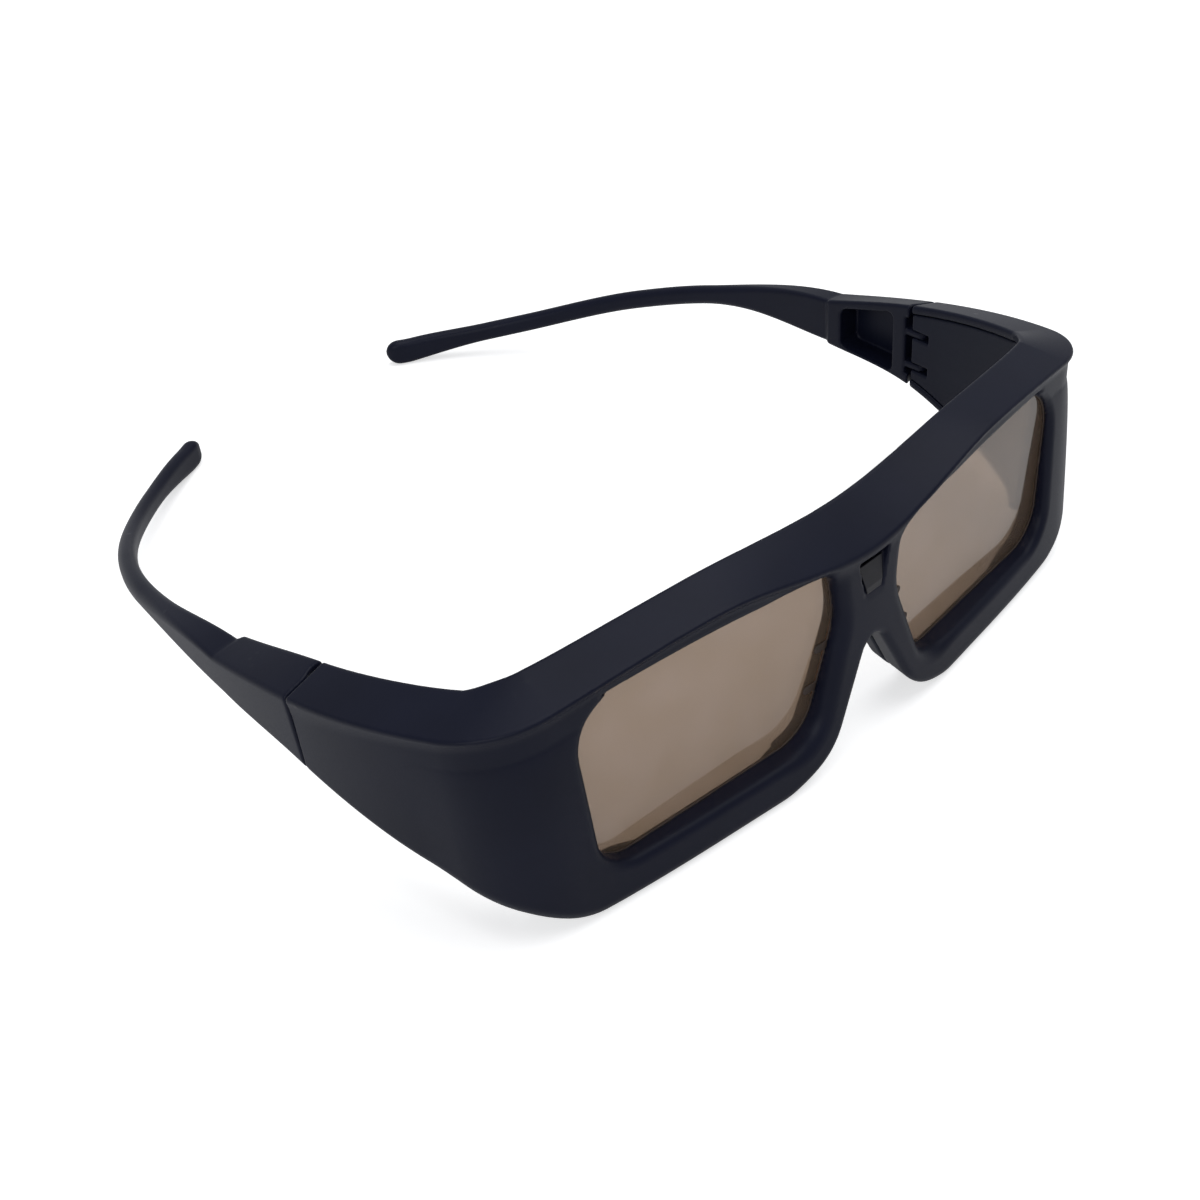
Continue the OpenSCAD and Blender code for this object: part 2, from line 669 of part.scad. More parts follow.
// Shutter cells, their seals and their flat leads
module lens() {
    color(lens_colour) lens_prism(lens_margin - fit, lens_front, lens_back);
}
module left_lens() {
    lens();
}
module right_lens() {
    mirror([1, 0, 0]) lens();
}
pad_heights = [lens_base + pad_low, lens_base + pad_high];
function nose_edge(z, d) =
    let (c = grow(lens_corners, d)) mix(c[0][0], c[5][0], (z - c[0][1])/(c[5][1] - c[0][1]));
module lens_seal() {
    color(rubber_colour) {
        lens_ring(lens_margin, lens_margin + seal_w, lens_set, lens_back);
        lens_ring(-seal_show, lens_margin + seal_w, lens_set, lens_front - fit);
        for (z = pad_heights) lens_frame()
            translate([nose_edge(z, -seal_show) + pad_reach, lens_front - fit, z]) rotate([90, 0, 0])
                cylinder(r = pad_r, h = seal_t - fit);
    }
}
module left_lens_seal() {
    lens_seal();
}
module right_lens_seal() {
    mirror([1, 0, 0]) lens_seal();
}
module lens_tail() {
    near = seat_margin + tail_gap;
    far = near + tail_w;
    low = pad_heights[0] - tail_below;
    inner = grow(lens_corners, near);
    outer = grow(lens_corners, far);
    color(flex_colour) translate([lens_mid, 0, 0]) from_front([[nose_edge(low, near), low], flat(inner[5]),
        flat(inner[4]), flat(outer[4]), flat(outer[5]), [nose_edge(low, far), low]],
        front_y + core_depth + tail_y, front_y + core_depth + tail_y + tail_t);
}
module left_lens_tail() {
    lens_tail();
}
module right_lens_tail() {
    mirror([1, 0, 0]) lens_tail();
}

// Sensor window, receiver, nose pad and screws of the rear cover
module ir_window() {
    slope = sensor_depth/sensor_h;
    color(rubber_colour) sensor_prism([[sensor_face, sensor_low + seam],
        [sensor_face + sensor_depth - seam*(1 + slope), sensor_top - seam],
        [sensor_face + sensor_depth - window_t, sensor_top - seam],
        [sensor_face, sensor_low + window_t/slope]], seam);
}
receiver_z = aperture_z - receiver_h/2;
module ir_receiver() {
    back = front_y + core_depth + seam;
    color(inner_colour) {
        translate([-receiver_w/2, back, receiver_z]) cube([receiver_w, receiver_t, receiver_h]);
        translate([0, back + eps, aperture_z]) rotate([90, 0, 0])
            cylinder(r = aperture_r - seam, h = snout_len);
    }
}
function pad_half(y, d, r) = [[arch_side(y, nose_pad_foot, d), nose_pad_foot, pad_end_r],
    [arch_side(y, arch_h + d, d), arch_h + d, r]];
function pad_ring(y) =
    let (outer = mirrored(pad_half(y, nose_pad_t, pad_outer_r)),
        inner = mirrored(pad_half(y, -nose_pad_proud, pad_inner_r)))
    [for (p = rounded(concat(outer, [for (i = [3:-1:0]) inner[i]]), arch_steps)) [p[0], front_y + y, p[1]]];
module nose_pad() {
    color(rubber_colour) skin([for (y = [cover_back + nose_pad_back, cover_front]) pad_ring(y)]);
}
module cover_screws() {
    color(steel_colour) for (p = screw_spots) translate([p[0], p[1] - sink, p[2]]) rotate([-90, 0, 0])
        screw();
}

// Wing covers, each with the block that carries the hinge pin
cover_rows = 9;
function cover_s(i) = mix(s_split + joint_gap, s_joint - seam, i/cover_rows);
function cover_y(i) =
    let (s = cover_s(i), run = i == 0 ? -cover_lead : i == cover_rows ? cover_tail : 0)
    place(s, width(s) - cover_inset - cover_t, 0)[1] + run;
function cover_low(i) = base_z(cover_s(i)) + wall + cover_gap;
function cover_high(i) =
    let (s = cover_s(i)) under_brow(s, width(s) - cover_inset - cover_t) - cover_gap;
module cover_side() {
    side_prism(concat([for (i = [0:cover_rows]) [cover_y(i), cover_low(i)]],
        [for (i = [cover_rows:-1:0]) [cover_y(i), cover_high(i)]]), 0, 2*brow_half);
}
module cover_plate() {
    linear_extrude(top_lens) polygon(concat(
        [for (i = [0:cover_rows]) let (s = cover_s(i)) flat(place(s, width(s) - cover_inset, 0))],
        [for (i = [cover_rows:-1:0]) let (s = cover_s(i))
            flat(place(s, width(s) - cover_inset - cover_t, 0))]));
}
block_u = joint_w - cover_inset;
end_u = lip_wing + wall + seam;
function block_roof(u) = under_brow(s_joint, u) - cover_gap;
module hinge_block() {
    from_front([[-block_u, 0], [block_w - block_u, 0], [block_w - block_u, block_roof(block_u - block_w)],
        [-block_u, block_roof(block_u)]], -block_len, -seam);
    from_front([[-block_u, 0], [-end_u, 0], [-end_u, block_roof(end_u) - gusset],
        [-end_u - gusset, block_roof(end_u + gusset)], [-block_u, block_roof(block_u)]], -end_t, -seam);
}
module wing_cover() {
    difference() {
        intersection() {
            union() {
                cover_plate();
                joint_frame() hinge_block();
            }
            cover_side();
        }
        joint_frame() {
            for (z = ear_heights) translate([-joint_w - past, -slot_len, z - ear_t/2 - ear_gap])
                cube([pin_x + ear_r + joint_gap + joint_w + past, slot_len + past, ear_t + 2*ear_gap]);
            translate([pin_x, -pin_back, pin_foot]) cylinder(r = pin_r + fit, h = pin_len + seam);
        }
    }
}
module door_prism(d) {
    a = door_side/2 + d;
    s = s_joint - cell_back;
    low = wall + door_rim - d;
    wing_frame(cell_back) side_prism(rounded([[-a, base_z(s - a) + low, door_corner_r],
        [a, base_z(s + a) + low, door_corner_r],
        [a, under_brow(s + a, cover_u) - door_rim + d, door_corner_r],
        [-a, under_brow(s - a, cover_u) - door_rim + d, door_corner_r]], 3), -beyond, -cover_u + past);
}
module left_wing_cover() {
    color(inner_colour) union() {
        wing_cover();
        for (y = [-1, 1]) wing_frame(board_back)
            translate([-board_u - board_t - fit, y*(board_len/2 - post_inset), board_z]) rotate([0, -90, 0])
                cylinder(r = post_r, h = cover_u + cover_t - board_u - board_t);
    }
}
module right_wing_cover() {
    color(inner_colour) mirror([1, 0, 0]) difference() {
        wing_cover();
        door_prism(seam + eps);
    }
}
module left_hinge_pin() {
    color(steel_colour) joint_frame() translate([pin_x, -pin_back, pin_foot])
        cylinder(r = pin_r, h = pin_len);
}
module right_hinge_pin() {
    mirror([1, 0, 0]) left_hinge_pin();
}

// Driver board in the left wing, and the flat cable through the brow
function wing_mid(back) = (base_z(s_joint - back) + ridge_z(s_joint - back))/2;
board_z = wing_mid(board_back) + board_lift;
module driver_board() {
    color(board_colour) wing_frame(board_back) translate([-board_u, 0, board_z]) {
        translate([-board_t, -board_len/2, -board_h/2]) cube([board_t, board_len, board_h]);
        translate([-eps, -chip_side/2, -chip_side/2]) cube([chip_t + eps, chip_side, chip_side]);
        for (y = [-1, 1]) translate([-eps, y*chip_side - chip_small_w/2, chip_side/4])
            cube([chip_t/2 + eps, chip_small_w, chip_small_h]);
    }
}
flex_u = cover_back - flange_w - seam;
function flex_z(s) = under_brow(s, flex_u - flex_t) - seam - flex_h;
flex_steps = [for (s = front_steps) if (abs(s) < s_wing + eps) s];
module brow_flex() {
    color(flex_colour) skin([for (s = flex_steps)
        let (z = flex_z(abs(s)))
        ring(s, [[flex_u - flex_t, z], [flex_u, z], [flex_u, z + flex_h], [flex_u - flex_t, z + flex_h]])]);
}

// Coin cell with its contacts and its door, in the right wing
cell_z = wing_mid(cell_back) + cell_lift;
module cell_frame() {
    mirror([1, 0, 0]) wing_frame(cell_back) translate([-cell_u, 0, cell_z]) children();
}
module battery() {
    color(steel_colour) cell_frame() rotate([0, -90, 0]) {
        cylinder(d = cell_d, h = cell_t - cell_step);
        cylinder(d = cell_d - 2*cell_rim, h = cell_t);
    }
}
module battery_spring() {
    color(steel_colour) cell_frame() {
        translate([fit, -spring_w/2, -spring_h/2]) cube([contact_t, spring_w, spring_h]);
        translate([fit, -spring_lead_w/2, spring_h/2 - eps]) cube([contact_t, spring_lead_w, spring_lead]);
    }
}
module battery_clip() {
    edge_y = -cell_d/2 - fit;
    color(steel_colour) cell_frame() translate([clip_inset - cell_t, 0, -clip_h/2]) {
        translate([0, edge_y - contact_t, 0]) cube([cell_t - clip_inset, contact_t, clip_h]);
        translate([0, edge_y - clip_foot, 0]) cube([contact_t, clip_foot, clip_h]);
    }
}
module battery_door() {
    color(inner_colour) mirror([1, 0, 0]) difference() {
        intersection() {
            cover_plate();
            door_prism(0);
        }
        door_screw_at(0) cylinder(r = screw_r + 2*fit, h = beyond);
        door_screw_at(door_sink) cylinder(r = head_r + seam, h = beyond);
    }
}
module battery_door_screw() {
    color(steel_colour) mirror([1, 0, 0]) door_screw_at(door_sink) screw();
}

// Temple, from the joint to its rounded end
function tip_scale(s) = sqrt(1 - pow(min(1 - eps, max(0, (s - s_tip + tip_round)/tip_round)), 2));
function temple_section(s) =
    let (w = width(s), zt = top_z(s), zr = ridge_z(s), zb = base_z(s), k = arm_share(s), g = tip_scale(s),
        c = [w/2, (zt + zb)/2])
    [for (p = rounded([[w, zt, mix(edge_top, arm_round, k)], [0, zr, mix(edge_ridge, arm_round, k)],
        [lip_wing*(1 - k), zb, mix(rim_edge_r, arm_round, k)], [w, zb, mix(edge_low, arm_round, k)]], 3))
        c + g*(p - c)];
module joint_frame() {
    wing_frame(0) children();
}
pin_x = -(joint_w - pin_inset);
pocket_y = [pocket_from, thick_len - pocket_end];
function inner_floor(y) = base_z(s_joint + y) + floor_t;
function inner_roof(y) = top_z(s_joint + y) - roof_t;
module temple_pocket() {
    side_prism(rounded([[pocket_y[0], inner_floor(pocket_y[0]), pocket_front_r],
        [pocket_y[1], inner_floor(pocket_y[1]), pocket_back_r],
        [pocket_y[1], inner_roof(pocket_y[1]), pocket_back_r],
        [pocket_y[0], inner_roof(pocket_y[0]), pocket_front_r]], 4), -joint_w - past, -lip_wing - wall);
}
module hinge_ear() {
    difference() {
        union() {
            cylinder(r = ear_r, h = ear_t);
            translate([-ear_r, 0, 0]) cube([2*ear_r, pin_back + strip_y + ear_root, ear_t]);
        }
        translate([0, 0, -past]) cylinder(r = pin_r + pin_gap, h = ear_t + 2*past);
    }
}
module temple() {
    difference() {
        skin([for (s = temple_steps) ring(s, temple_section(s))]);
        joint_frame() {
            temple_pocket();
            translate([pin_x, -pin_back, 0])
                cylinder(r = norm([pin_inset, pin_back]) + joint_gap, h = top_joint + past);
            side_prism([[-past, inner_floor(0) + strip_low], [strip_y, inner_floor(0) + strip_low],
                [strip_y, inner_roof(0) - strip_high], [-past, inner_roof(0) - strip_high]],
                -joint_w - past, pin_x + strip_u);
        }
    }
    joint_frame() for (z = ear_heights) translate([pin_x, -pin_back, z - ear_t/2]) hinge_ear();
}
module left_temple() {
    color(body_colour) temple();
}
module right_temple() {
    color(body_colour) mirror([1, 0, 0]) temple();
}

front_frame();
rear_cover();
left_lens();
right_lens();
left_lens_seal();
right_lens_seal();
left_lens_tail();
right_lens_tail();
ir_window();
ir_receiver();
nose_pad();
cover_screws();
left_wing_cover();
right_wing_cover();
left_hinge_pin();
right_hinge_pin();
driver_board();
brow_flex();
battery();
battery_spring();
battery_clip();
battery_door();
battery_door_screw();
left_temple();
right_temple();
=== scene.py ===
import math
import bpy
import numpy as np
from mathutils import Matrix


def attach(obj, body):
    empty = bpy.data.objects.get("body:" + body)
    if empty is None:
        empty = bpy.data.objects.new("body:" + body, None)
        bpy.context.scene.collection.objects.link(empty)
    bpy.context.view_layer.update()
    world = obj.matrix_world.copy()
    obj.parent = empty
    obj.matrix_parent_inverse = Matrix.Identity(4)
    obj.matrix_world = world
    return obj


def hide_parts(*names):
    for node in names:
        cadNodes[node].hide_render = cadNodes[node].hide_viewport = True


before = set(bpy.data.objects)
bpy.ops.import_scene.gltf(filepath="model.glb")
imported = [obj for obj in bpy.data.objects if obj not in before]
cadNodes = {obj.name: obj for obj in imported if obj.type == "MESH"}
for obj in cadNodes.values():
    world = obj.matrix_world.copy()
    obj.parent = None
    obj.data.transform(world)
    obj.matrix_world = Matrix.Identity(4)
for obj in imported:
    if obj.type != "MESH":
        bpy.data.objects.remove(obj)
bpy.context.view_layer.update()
mm = 0.001
print("frame loaded:", len(cadNodes), "nodes")

# All sizes below are in millimetres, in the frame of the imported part.
# The glasses are swept along one plan curve: s runs along it, u inwards from it, z is up.
planCurve = {
    "browR": 290.0, "browHalf": 61.8,        # brow
    "cornerR": 17.9, "cornerTurn": 59.4,     # front corner
    "wingR": 107.0, "wingTurn": 16.5,        # side wing up to the joint
    "shankR": 292.0, "shankLen": 59.7,       # first part of a temple
    "templeR": 101.0, "templeTurn": 49.1,    # curved part of a temple
    "frontY": -88.315,                       # foremost line of the brow
}


def mix(a, b, t):
    return a + (b - a)*t


def smooth(t):
    k = np.clip(t, 0, 1)
    return k*k*(3 - 2*k)


# rounded joins of two signed distances: the first keeps what is in both, the second what is in either
def bothRound(a, b, r):
    return np.minimum(np.maximum(a, b), -r) + np.hypot(np.maximum(a + r, 0), np.maximum(b + r, 0))


def eitherRound(a, b, r):
    return -bothRound(-a, -b, r)


def boxDistance(value, low, high):
    return np.maximum(low - value, value - high)


def arcTable(c):
    arcs = [(c["browR"], math.asin(c["browHalf"]/c["browR"])),
            (c["cornerR"], math.radians(c["cornerTurn"])),
            (c["wingR"], math.radians(c["wingTurn"])),
            (c["shankR"], c["shankLen"]/c["shankR"]),
            (c["templeR"], math.radians(c["templeTurn"]))]
    rows = []
    start, x, y, heading = 0.0, 0.0, 0.0, 0.0
    for radius, turn in arcs:
        rows.append((start, radius, x, y, heading))
        x += radius*(math.sin(heading + turn) - math.sin(heading))
        y += radius*(math.cos(heading) - math.cos(heading + turn))
        heading += turn
        start += radius*turn
    return np.array(rows), start


arcRows, tipS = arcTable(planCurve)
browS, wingS, jointS = arcRows[1][0], arcRows[2][0], arcRows[3][0]
splitS = (browS + wingS)/2                   # middle of the front corner


def planPoint(s, u):
    a = np.abs(s)
    row = arcRows[np.clip(np.searchsorted(arcRows[:, 0], a, side="right") - 1, 0, len(arcRows) - 1)]
    start, radius, x, y, heading = row.T
    turned = heading + (a - start)/radius
    px = x + radius*(np.sin(turned) - np.sin(heading)) - u*np.sin(turned)
    py = y + radius*(np.cos(heading) - np.cos(turned)) + u*np.cos(turned)
    return np.where(s < 0, -px, px), py + planCurve["frontY"]


def along(stations, s):
    st = np.array(stations, float)
    at, value = st.T
    grade = np.zeros(len(at))
    for i in range(1, len(at)):
        j = min(i + 1, len(at) - 1)
        grade[i] = (value[j] - value[i - 1])/(at[j] - at[i - 1])
    i = np.clip(np.searchsorted(at, s, side="left") - 1, 0, len(at) - 2)
    h = at[i + 1] - at[i]
    t = (s - at[i])/h
    return (value[i]*(1 + 2*t)*(1 - t)**2 + h*grade[i]*t*(1 - t)**2
            + value[i + 1]*t*t*(3 - 2*t) + h*grade[i + 1]*t*t*(t - 1))


# a moulded piece is the zero surface of a signed distance, meshed on a grid that follows its own axes
def mouldedPiece(name, field, low, high, pitch, toWorld):
    axes = [np.arange(a, b + p, p) for a, b, p in zip(low, high, pitch)]
    size = [len(a) for a in axes]
    grid = np.empty(size)
    slab = 16
    for i in range(0, size[0], slab):
        block = np.meshgrid(axes[0][i:i + slab], axes[1], axes[2], indexing="ij")
        grid[i:i + slab] = field(*[b.ravel() for b in block]).reshape(block[0].shape)
    inside = grid < 0
    corners = [(i, j, k) for i in (0, 1) for j in (0, 1) for k in (0, 1)]
    cells = [n - 1 for n in size]
    part = {c: inside[c[0]:c[0] + cells[0], c[1]:c[1] + cells[1], c[2]:c[2] + cells[2]] for c in corners}
    filled = sum(part[c].astype(np.int8) for c in corners)
    active = np.argwhere((filled > 0) & (filled < len(corners)))
    number = np.full(cells, -1)
    number[tuple(active.T)] = np.arange(len(active))
    total = np.zeros((len(active), 3))
    count = np.zeros(len(active))
    for a in corners:
        for axis in range(3):
            if a[axis]:
                continue
            b = tuple(1 if k == axis else a[k] for k in range(3))
            va = grid[tuple((active + a).T)]
            vb = grid[tuple((active + b).T)]
            cross = (va < 0) != (vb < 0)
            t = np.where(cross, va/np.where(cross, va - vb, 1), 0)
            point = np.array(a, float)[None, :].repeat(len(active), 0)
            point[:, axis] += t
            total += np.where(cross[:, None], point, 0)
            count += cross
    points = (active + total/count[:, None])*np.array(pitch) + np.array(low)
    faces = []
    for axis in range(3):
        p, q = (axis + 1) % 3, (axis + 2) % 3
        edge = [slice(1, -1)]*3
        edge[axis] = slice(0, -1)
        ahead = list(edge)
        ahead[axis] = slice(1, None)
        a, b = inside[tuple(edge)], inside[tuple(ahead)]
        at = np.argwhere(a != b)
        keep = a[tuple(at.T)]
        quad = []
        for dp, dq in ((0, 0), (1, 0), (1, 1), (0, 1)):
            cell = at.copy()
            cell[:, p] += dp
            cell[:, q] += dq
            quad.append(number[tuple(cell.T)])
        quad = np.array(quad).T
        quad[~keep] = quad[~keep][:, ::-1]
        faces.append(quad)
    faces = np.concatenate(faces)
    reach, flattest, pulls = 0.05, 0.05, 2
    furthest = 0.4*np.array(pitch)
    for _ in range(pulls):                   # draw the points onto the surface itself
        value = field(*points.T)
        slope = np.array([(field(*(points + d).T) - field(*(points - d).T))/(2*reach)
                          for d in np.eye(3)*reach]).T
        step = value/np.maximum((slope**2).sum(1), flattest)
        points = points - np.clip(slope*step[:, None], -furthest, furthest)
    x, y, z = toWorld(*points.T)
    mesh = bpy.data.meshes.new(name)
    mesh.from_pydata(np.stack([x, y, z], 1)*mm, [], faces.tolist())
    mesh.polygons.foreach_set("use_smooth", np.ones(len(mesh.polygons), bool))
    mesh.update()
    piece = bpy.data.objects.new(name, mesh)
    bpy.context.scene.collection.objects.link(piece)
    print("moulded", name, len(points), "points")
    return piece


def sweptToWorld(s, u, z):
    x, y = planPoint(s, u)
    return x, y, z


def sameFrame(x, y, z):
    return x, y, z


def mirroredPiece(name, piece):
    mesh = piece.data.copy()
    mesh.transform(Matrix.Scale(-1, 4, (1, 0, 0)))
    mesh.flip_normals()
    copy = bpy.data.objects.new(name, mesh)
    bpy.context.scene.collection.objects.link(copy)
    return copy


# heights and widths of the section along the whole sweep
sweep = {
    "ridgeBridge": 40.2, "ridgeLens": 45.6, "ridgeCorner": 41.6, "ridgeJoint": 34.4,
    "topBridge": 46.2, "topLens": 47.4, "topCorner": 43.8, "topJoint": 36.7,
    "baseCorner": 5.0, "baseJoint": 18.0,
    "browW": 9.0, "cornerW": 9.6, "jointW": 8.1,
    "thickLen": 24.0, "thickW": 6.6, "thickStep": 0.9, "thickH": 10.3,
    "armW": 3.8, "armH": 4.6, "armLead": 26.0, "armBlend": 36.0,
    "axisThick": 25.1, "axisBend": 22.8, "axisMid": 16.0, "axisLow": 8.0, "tipH": 6.3,
    "axisShares": (0.31, 0.62, 0.93),        # places of axisMid, axisLow and the end's height
    "tipLift": 0.1, "tipFrom": 26.0, "tipBlend": 22.0, "stepLen": 1.6,
    "ridgeDrop": 1.0, "armDrop": 0.5,        # of the ridge below the top of a temple
    "flatEnd": 4.0,
}
bridgeW, lensW = 14.8, 51.0
lensS = bridgeW/2 + lensW/2
thickS = jointS + sweep["thickLen"]
bendS = thickS + sweep["armLead"]
flatS = browS - sweep["flatEnd"]             # the rims rest on the table up to here


def axisZ(s):
    tip = sweep["tipH"]/2
    middle, low, end = (mix(bendS, tipS, share) for share in sweep["axisShares"])
    return along([(0, sweep["axisThick"]), (thickS, sweep["axisThick"]), (bendS, sweep["axisBend"]),
                  (middle, sweep["axisMid"]), (low, sweep["axisLow"]),
                  (end, tip + sweep["tipLift"]), (tipS, tip)], s)


def armShare(s):
    return smooth((s - thickS)/sweep["armBlend"])


def stepAt(s):
    return sweep["thickStep"]*smooth((s - thickS)/sweep["stepLen"] + 0.5)


def halfH(s):
    arm = mix(sweep["thickH"], sweep["armH"], armShare(s))
    return mix(arm, sweep["tipH"], smooth((s - tipS + sweep["tipFrom"])/sweep["tipBlend"]))/2


def topZ(s):
    front = along([(0, sweep["topBridge"]), (lensS, sweep["topLens"]), (splitS, sweep["topCorner"]),
                   (jointS, sweep["topJoint"]), (thickS, sweep["axisThick"] + sweep["thickH"]/2)], s)
    arm = axisZ(s) + halfH(s) - stepAt(s)/2*(1 - armShare(s))
    return np.where(s < thickS, front - stepAt(s)/2, arm)


def ridgeZ(s):
    thick = sweep["axisThick"] + sweep["thickH"]/2 - sweep["ridgeDrop"]
    front = along([(0, sweep["ridgeBridge"]), (lensS, sweep["ridgeLens"]), (splitS, sweep["ridgeCorner"]),
                   (jointS, sweep["ridgeJoint"]), (thickS, thick)], s)
    drop = mix(sweep["ridgeDrop"], sweep["armDrop"], armShare(s))
    return np.where(s < thickS, front, axisZ(s) + halfH(s) - drop)


def baseZ(s):
    front = along([(flatS, 0), (splitS, sweep["baseCorner"]), (jointS, sweep["baseJoint"]),
                   (thickS, sweep["axisThick"] - sweep["thickH"]/2)], np.maximum(s, flatS))
    return np.where(s < thickS, front, axisZ(s) - halfH(s))


def widthU(s):
    arm = sweep["armW"] + sweep["thickStep"]
    return along([(0, sweep["browW"]), (splitS, sweep["cornerW"]), (jointS, sweep["jointW"]),
                  (thickS, sweep["thickW"]), (bendS, arm), (tipS, arm)], s) - stepAt(s)


lipLine = [(0, 0.6), (lensS, 1.6), (splitS, 1.0), (jointS, 0.3)]   # how far the ridge stands out
wall = 1.8


def lipU(s):
    return along(lipLine, np.minimum(s, jointS))


def underBrow(s, u):
    return mix(ridgeZ(s), topZ(s), u/widthU(s)) - wall


# lens opening, set out in the lens's own plane
lensOpening = {
    "height": 33.8, "base": 8.3, "noseSlant": 7.0, "cornerSteps": 10,
    "crown": 1.7, "crownX": 3.0, "crownR": 188.5,                        # the top edge is a flat arch
    "noseCrown": 2.9, "noseTop": 1.4, "noseTopR": 4.5, "bend": 0.6, "bendR": 14.0,
    "near": 2.4, "far": 1.1, "nearIn": 5.0,  # depth of the opening's edge behind the ridge
    "seatDepth": 1.2, "seatMargin": 2.4,     # seat of the shutter cell behind the opening
    "cellFront": 1.55, "cellBack": 3.55,
    "roll": 1.5, "noseRoll": 2.6, "rollFrom": 8.0, "rollRun": 12.0,      # rolled edge of the opening
    "margin": 1.85,                          # how far the cell reaches under the rim
}


def roundedOutline(corners, steps):
    points = []
    for i in range(len(corners)):
        a, b, c = (np.array(corners[(i + k) % len(corners)][:2]) for k in (-1, 0, 1))
        r = corners[i][2]
        u, v = (a - b)/np.linalg.norm(a - b), (c - b)/np.linalg.norm(c - b)
        half = math.acos(float(u @ v))/2
        middle = b + (u + v)/np.linalg.norm(u + v)*r/math.sin(half)
        start = b + u*r/math.tan(half) - middle
        turn = (math.pi - 2*half)*(1 if u[0]*v[1] - u[1]*v[0] < 0 else -1)
        for k in range(steps + 1):
            t = turn*k/steps
            points.append(middle + np.array([start[0]*math.cos(t) - start[1]*math.sin(t),
                                             start[0]*math.sin(t) + start[1]*math.cos(t)]))
    return np.array(points)


def outlineDistance(points, x, z):
    tiny = 1e-12
    best = np.full(x.shape, np.inf)
    odd = np.zeros(x.shape, bool)
    for (ax, az), (bx, bz) in zip(points, np.roll(points, -1, 0)):
        ex, ez = bx - ax, bz - az
        length = max(ex*ex + ez*ez, tiny)
        t = np.clip(((x - ax)*ex + (z - az)*ez)/length, 0, 1)
        best = np.minimum(best, (x - ax - t*ex)**2 + (z - az - t*ez)**2)
        crosses = (az > z) != (bz > z)
        odd ^= crosses & (x < ax + (z - az)*ex/(ez if ez else tiny))
    return np.where(odd, -1, 1)*np.sqrt(best)


# the outline with its corners as (x, z, radius)
def lensOutline(noseLow, outLow, outHigh, more, lean):
    o = lensOpening
    top = o["base"] + o["height"]
    half = lensW/2
    corners = [(o["noseSlant"] - half - more, o["base"] - more, noseLow),
               (half - lean, o["base"] - more, outLow),
               (half, top - o["crown"], outHigh),
               (o["crownX"], top, o["crownR"]),
               (o["noseTop"] - half - more, top - o["noseCrown"], o["noseTopR"]),
               (-half - more, o["base"] + o["height"]*o["bend"], o["bendR"])]
    return roundedOutline(corners, o["cornerSteps"])


lensGridStep = 0.2
lensGridX = np.arange(-34, 34, lensGridStep)
lensGridZ = np.arange(-6, 56, lensGridStep)


def outlineGrid(shape):
    return outlineDistance(lensOutline(**shape), *np.meshgrid(lensGridX, lensGridZ, indexing="ij"))


# the cell with its seat, and the rim in front of it, which is larger and has rounder corners
cellShape = {"noseLow": 5.0, "outLow": 4.0, "outHigh": 3.2, "more": 0.0, "lean": 0.4}
rimShape = {"noseLow": 8.0, "outLow": 7.0, "outHigh": 9.5, "more": 0.5, "lean": 1.3}
cellGrid, rimGrid = outlineGrid(cellShape), outlineGrid(rimShape)


def lensDistance(lensGrid, x, z):
    i = np.clip((x - lensGridX[0])/lensGridStep, 0, len(lensGridX) - 2)
    k = np.clip((z - lensGridZ[0])/lensGridStep, 0, len(lensGridZ) - 2)
    i0, k0 = i.astype(int), k.astype(int)
    p, q = i - i0, k - k0
    return ((lensGrid[i0, k0]*(1 - p) + lensGrid[i0 + 1, k0]*p)*(1 - q)
            + (lensGrid[i0, k0 + 1]*(1 - p) + lensGrid[i0 + 1, k0 + 1]*p)*q)


def lensPlane():
    ax, ay = planPoint(np.array(bridgeW/2 + lensOpening["nearIn"]), lensOpening["near"])
    bx, by = planPoint(np.array(bridgeW/2 + lensW), lensOpening["far"])
    yaw = math.atan2(float(by - ay), float(bx - ax))
    return yaw, float(ay) + (lensS - float(ax))*math.tan(yaw)


lensYaw, lensY = lensPlane()


def lensLocal(x, y):
    dx, dy = np.abs(x) - lensS, y - lensY
    return (dx*math.cos(lensYaw) + dy*math.sin(lensYaw), dy*math.cos(lensYaw) - dx*math.sin(lensYaw))


# nose arch: half widths at its top and foot, wider towards the back
noseArch = {"height": 22.3, "top": 1.5, "foot": 12.8, "splay": 0.2, "topRound": 1.5, "footRound": 9.0,
            "edgeRound": 1.5}


def archVoid(x, y, z, grow):
    n = noseArch
    depth = y - planCurve["frontY"] - lipLine[0][1]
    lean = math.hypot(n["foot"] - n["top"], n["height"])/n["height"]
    half = mix(n["foot"], n["top"], z/n["height"]) + n["splay"]*depth
    return bothRound((np.abs(x) - half)/lean - grow, z - n["height"] - grow, n["topRound"])


# what is left above the lower edge and outside the arch, with the feet of the arch rounded
def besideArch(x, y, z, low, grow):
    return bothRound(low - z, -archVoid(x, y, z, grow), noseArch["footRound"])


# sensor recess in the bridge, deepest at its top
sensor = {
    "width": 6.8, "foot": 3.6, "height": 7.4, "depth": 1.6, "below": 1.9, "edgeRound": 0.15,
    "aperture": 1.5, "apertureDrop": 2.6, "apertureDeep": 6.0,
    "groove": 0.3,                           # gap round the window
    "slotH": 1.5, "slotDeep": 1.5,           # dark slot above the window
    "plate": 0.35, "plateGap": 0.2, "faceGap": 0.05, "floorGap": 0.03, "footGap": 0.1,
}
sensorTop = sweep["ridgeBridge"] - sensor["below"]
bridgeFace = planCurve["frontY"] + lipLine[0][1]


def sensorSection(z):
    t = (z - sensorTop + sensor["height"])/sensor["height"]
    return t, mix(sensor["foot"], sensor["width"], t)/2


